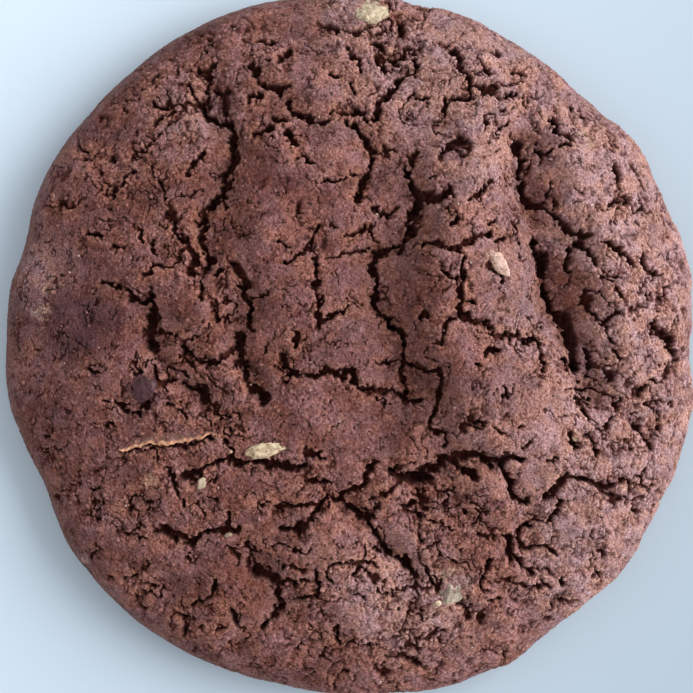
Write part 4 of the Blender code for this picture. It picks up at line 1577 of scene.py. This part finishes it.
# %% [markdown]
# ### Finishes of the nuts, the chocolate and the flake
# Nut flesh is cream, with a waxy grain in it, and cocoa dust stays in its hollows. Some pieces are
# rosier and some are greyer than others. The chocolate melted and set again, which leaves it dark and
# satin. The flake is brown on top and orange tan where it tore, painted brighter there as a highlight
# of the light on its lip.

# %% Nut flesh, dark chocolate and toasted crust
def nut_flesh():
    """Roasted nut: cream, rosy or grey, with a soft waxy gloss and cocoa dust in its hollows."""
    material, tree, shader, place = new_material("roasted_nut_flesh", 0.55, 0.4)
    patches = grain(tree, of_size(place, 0.8), 0.3, 0.7)
    grey, cream, rose = [layered(tree, linear(dark), (patches, linear(light))) for dark, light in
                         (("86796a", "c4b5a0"), ("b09878", "e2cfab"), ("c79f8c", "f0cfbe"))]
    dust = grain(tree, of_size(place, 0.35), 0.54, 0.68, 0.0, 0.8)
    tone = layered(tree, grey, (stored(tree, "rosy", 0.0, 0.5), cream),
                   (stored(tree, "rosy", 0.5, 1.0), rose), (dust, linear("7d5748")))
    connect(tree, shader, {"Base Color": tone, "Normal": bumps(tree, of_size(place, 0.25), 0.6, 0.08)})
    return material


def dark_chocolate():
    """Dark chocolate that melted and set again: purple brown and satin, with a dull bloom."""
    material, tree, shader, place = new_material("set_dark_chocolate", 0.45, 0.4)
    bloom = grain(tree, of_size(place, 0.6), 0.35, 0.65)
    connect(tree, shader, {"Base Color": layered(tree, linear("381b20"), (bloom, linear("543035")))})
    return material


def toasted_crust():
    """The flake: dull brown on top, with a dry orange tan edge where it tore, painted bright as a highlight.
    """
    material, tree, shader, place = new_material("toasted_crust_edge", 0.6, 0.5)
    top = layered(tree, linear("5b372e"),
                  (grain(tree, of_size(place, 0.5, 4.0), 0.3, 0.7), linear("8d6357")))
    # Painted highlight: the torn lip is painted a bright orange tan, partly toasted colour and partly light.
    tear_and_highlight = layered(tree, linear("b5795a"), (grain(tree, of_size(place, 0.4), 0.3, 0.7), linear("e6b08a")))
    tone = layered(tree, top, (stored(tree, "lip", 0.62, 0.82), tear_and_highlight))
    connect(tree, shader, {"Base Color": tone, "Normal": bumps(tree, of_size(place, 0.3), 0.8, 0.10)})
    return material


finish_piece(nuts, nut_flesh())
finish_piece(chocolate, dark_chocolate())
finish_piece(flake, toasted_crust())
print("finishes:", ", ".join(material.name for material in bpy.data.materials))

# %% [markdown]
# ## Floor, light and camera
# The cookie lies on a plain pale surface, whose colour darkens a little to one side as a painted
# fall-off of light. Soft daylight comes from the right, rather low, as from a window, with a little
# cool light from all around. The camera looks straight down from 0.3 m.

# %% Floor
FLOOR_SIDE = 3.0
LIGHT_FALLOFF_TURN, LIGHT_FALLOFF_PER_METRE, LIGHT_FALLOFF_START = 25.0, 9.0, 0.5
floor_form = bmesh.new()
bmesh.ops.create_grid(floor_form, x_segments=1, y_segments=1, size=FLOOR_SIDE / 2)
floor = new_object("floor", new_mesh("floor", floor_form))
# The surface is a matt painted board: it shows soft shadows and no reflections. Its colour darkens to
# one side as a painted fall-off of light.
floor_finish, floor_tree, floor_shader, floor_place = new_material("pale_surface", 0.6, 0.2)
across = add(floor_tree, "ShaderNodeMapping", {
    "Vector": floor_place,
    "Rotation": (0.0, 0.0, math.radians(LIGHT_FALLOFF_TURN)),
    "Scale": (LIGHT_FALLOFF_PER_METRE, LIGHT_FALLOFF_PER_METRE, LIGHT_FALLOFF_PER_METRE),
    "Location": (LIGHT_FALLOFF_START, 0.0, 0.0),
})
# Painted fall-off of light: the floor's colour darkens along this gradient.
fade = add(floor_tree, "ShaderNodeTexGradient", {"Vector": across}, "Fac")
floor_tone_and_falloff = layered(floor_tree, linear("e0f2ff"), (fade, linear("b4c5d1")))
connect(floor_tree, floor_shader, {"Base Color": floor_tone_and_falloff})
floor.data.materials.append(floor_finish)
print("floor, metres a side:", FLOOR_SIDE)

# %% Light
KEY_AZIMUTH, KEY_HEIGHT, KEY_DISTANCE = 11.0, 27.5, 1.2
KEY_SIDE, KEY_WATTS, KEY_COLOUR = 1.35, 22.6, (1.0, 0.985, 0.99)
ROOM_COLOUR, ROOM_STRENGTH = "eef0f4", 0.67
turn, rise = math.radians(KEY_AZIMUTH), math.radians(KEY_HEIGHT)
window_light = bpy.data.lights.new("window", "AREA")
window_light.size = KEY_SIDE
window_light.energy = KEY_WATTS
window_light.color = KEY_COLOUR
window = new_object("window", window_light)
window.location = KEY_DISTANCE * Vector((math.cos(rise) * math.cos(turn), math.cos(rise) * math.sin(turn),
                                         math.sin(rise)))
window.rotation_euler = (-window.location).to_track_quat("-Z", "Y").to_euler()
world = bpy.data.worlds.new("room")
world.use_nodes = True
world.node_tree.nodes["Background"].inputs["Color"].default_value = linear(ROOM_COLOUR)
world.node_tree.nodes["Background"].inputs["Strength"].default_value = ROOM_STRENGTH
bpy.context.scene.world = world
bpy.context.scene.view_settings.view_transform = "Standard"
print("the window light stands at", [round(part, 2) for part in window.location], "m")

# %% Camera
SENSOR = 36.0
CLIP_START = 0.01
MIDDLE_PX = PHOTO_SIDE_PX / 2
camera_data = bpy.data.cameras.new("camera")
camera_data.sensor_width = SENSOR
camera_data.lens = SENSOR * (CAMERA_HEIGHT - WIDEST_HEIGHT) / (PHOTO_SIDE_PX / PX_PER_MM)
camera_data.clip_start = CLIP_START
camera = new_object("camera", camera_data)
camera.location = ((MIDDLE_PX - CENTRE_PX[0]) / PX_PER_MM * MM, (CENTRE_PX[1] - MIDDLE_PX) / PX_PER_MM * MM,
                   CAMERA_HEIGHT * MM)
bpy.context.scene.camera = camera
print("lens, mm:", round(camera_data.lens, 1))
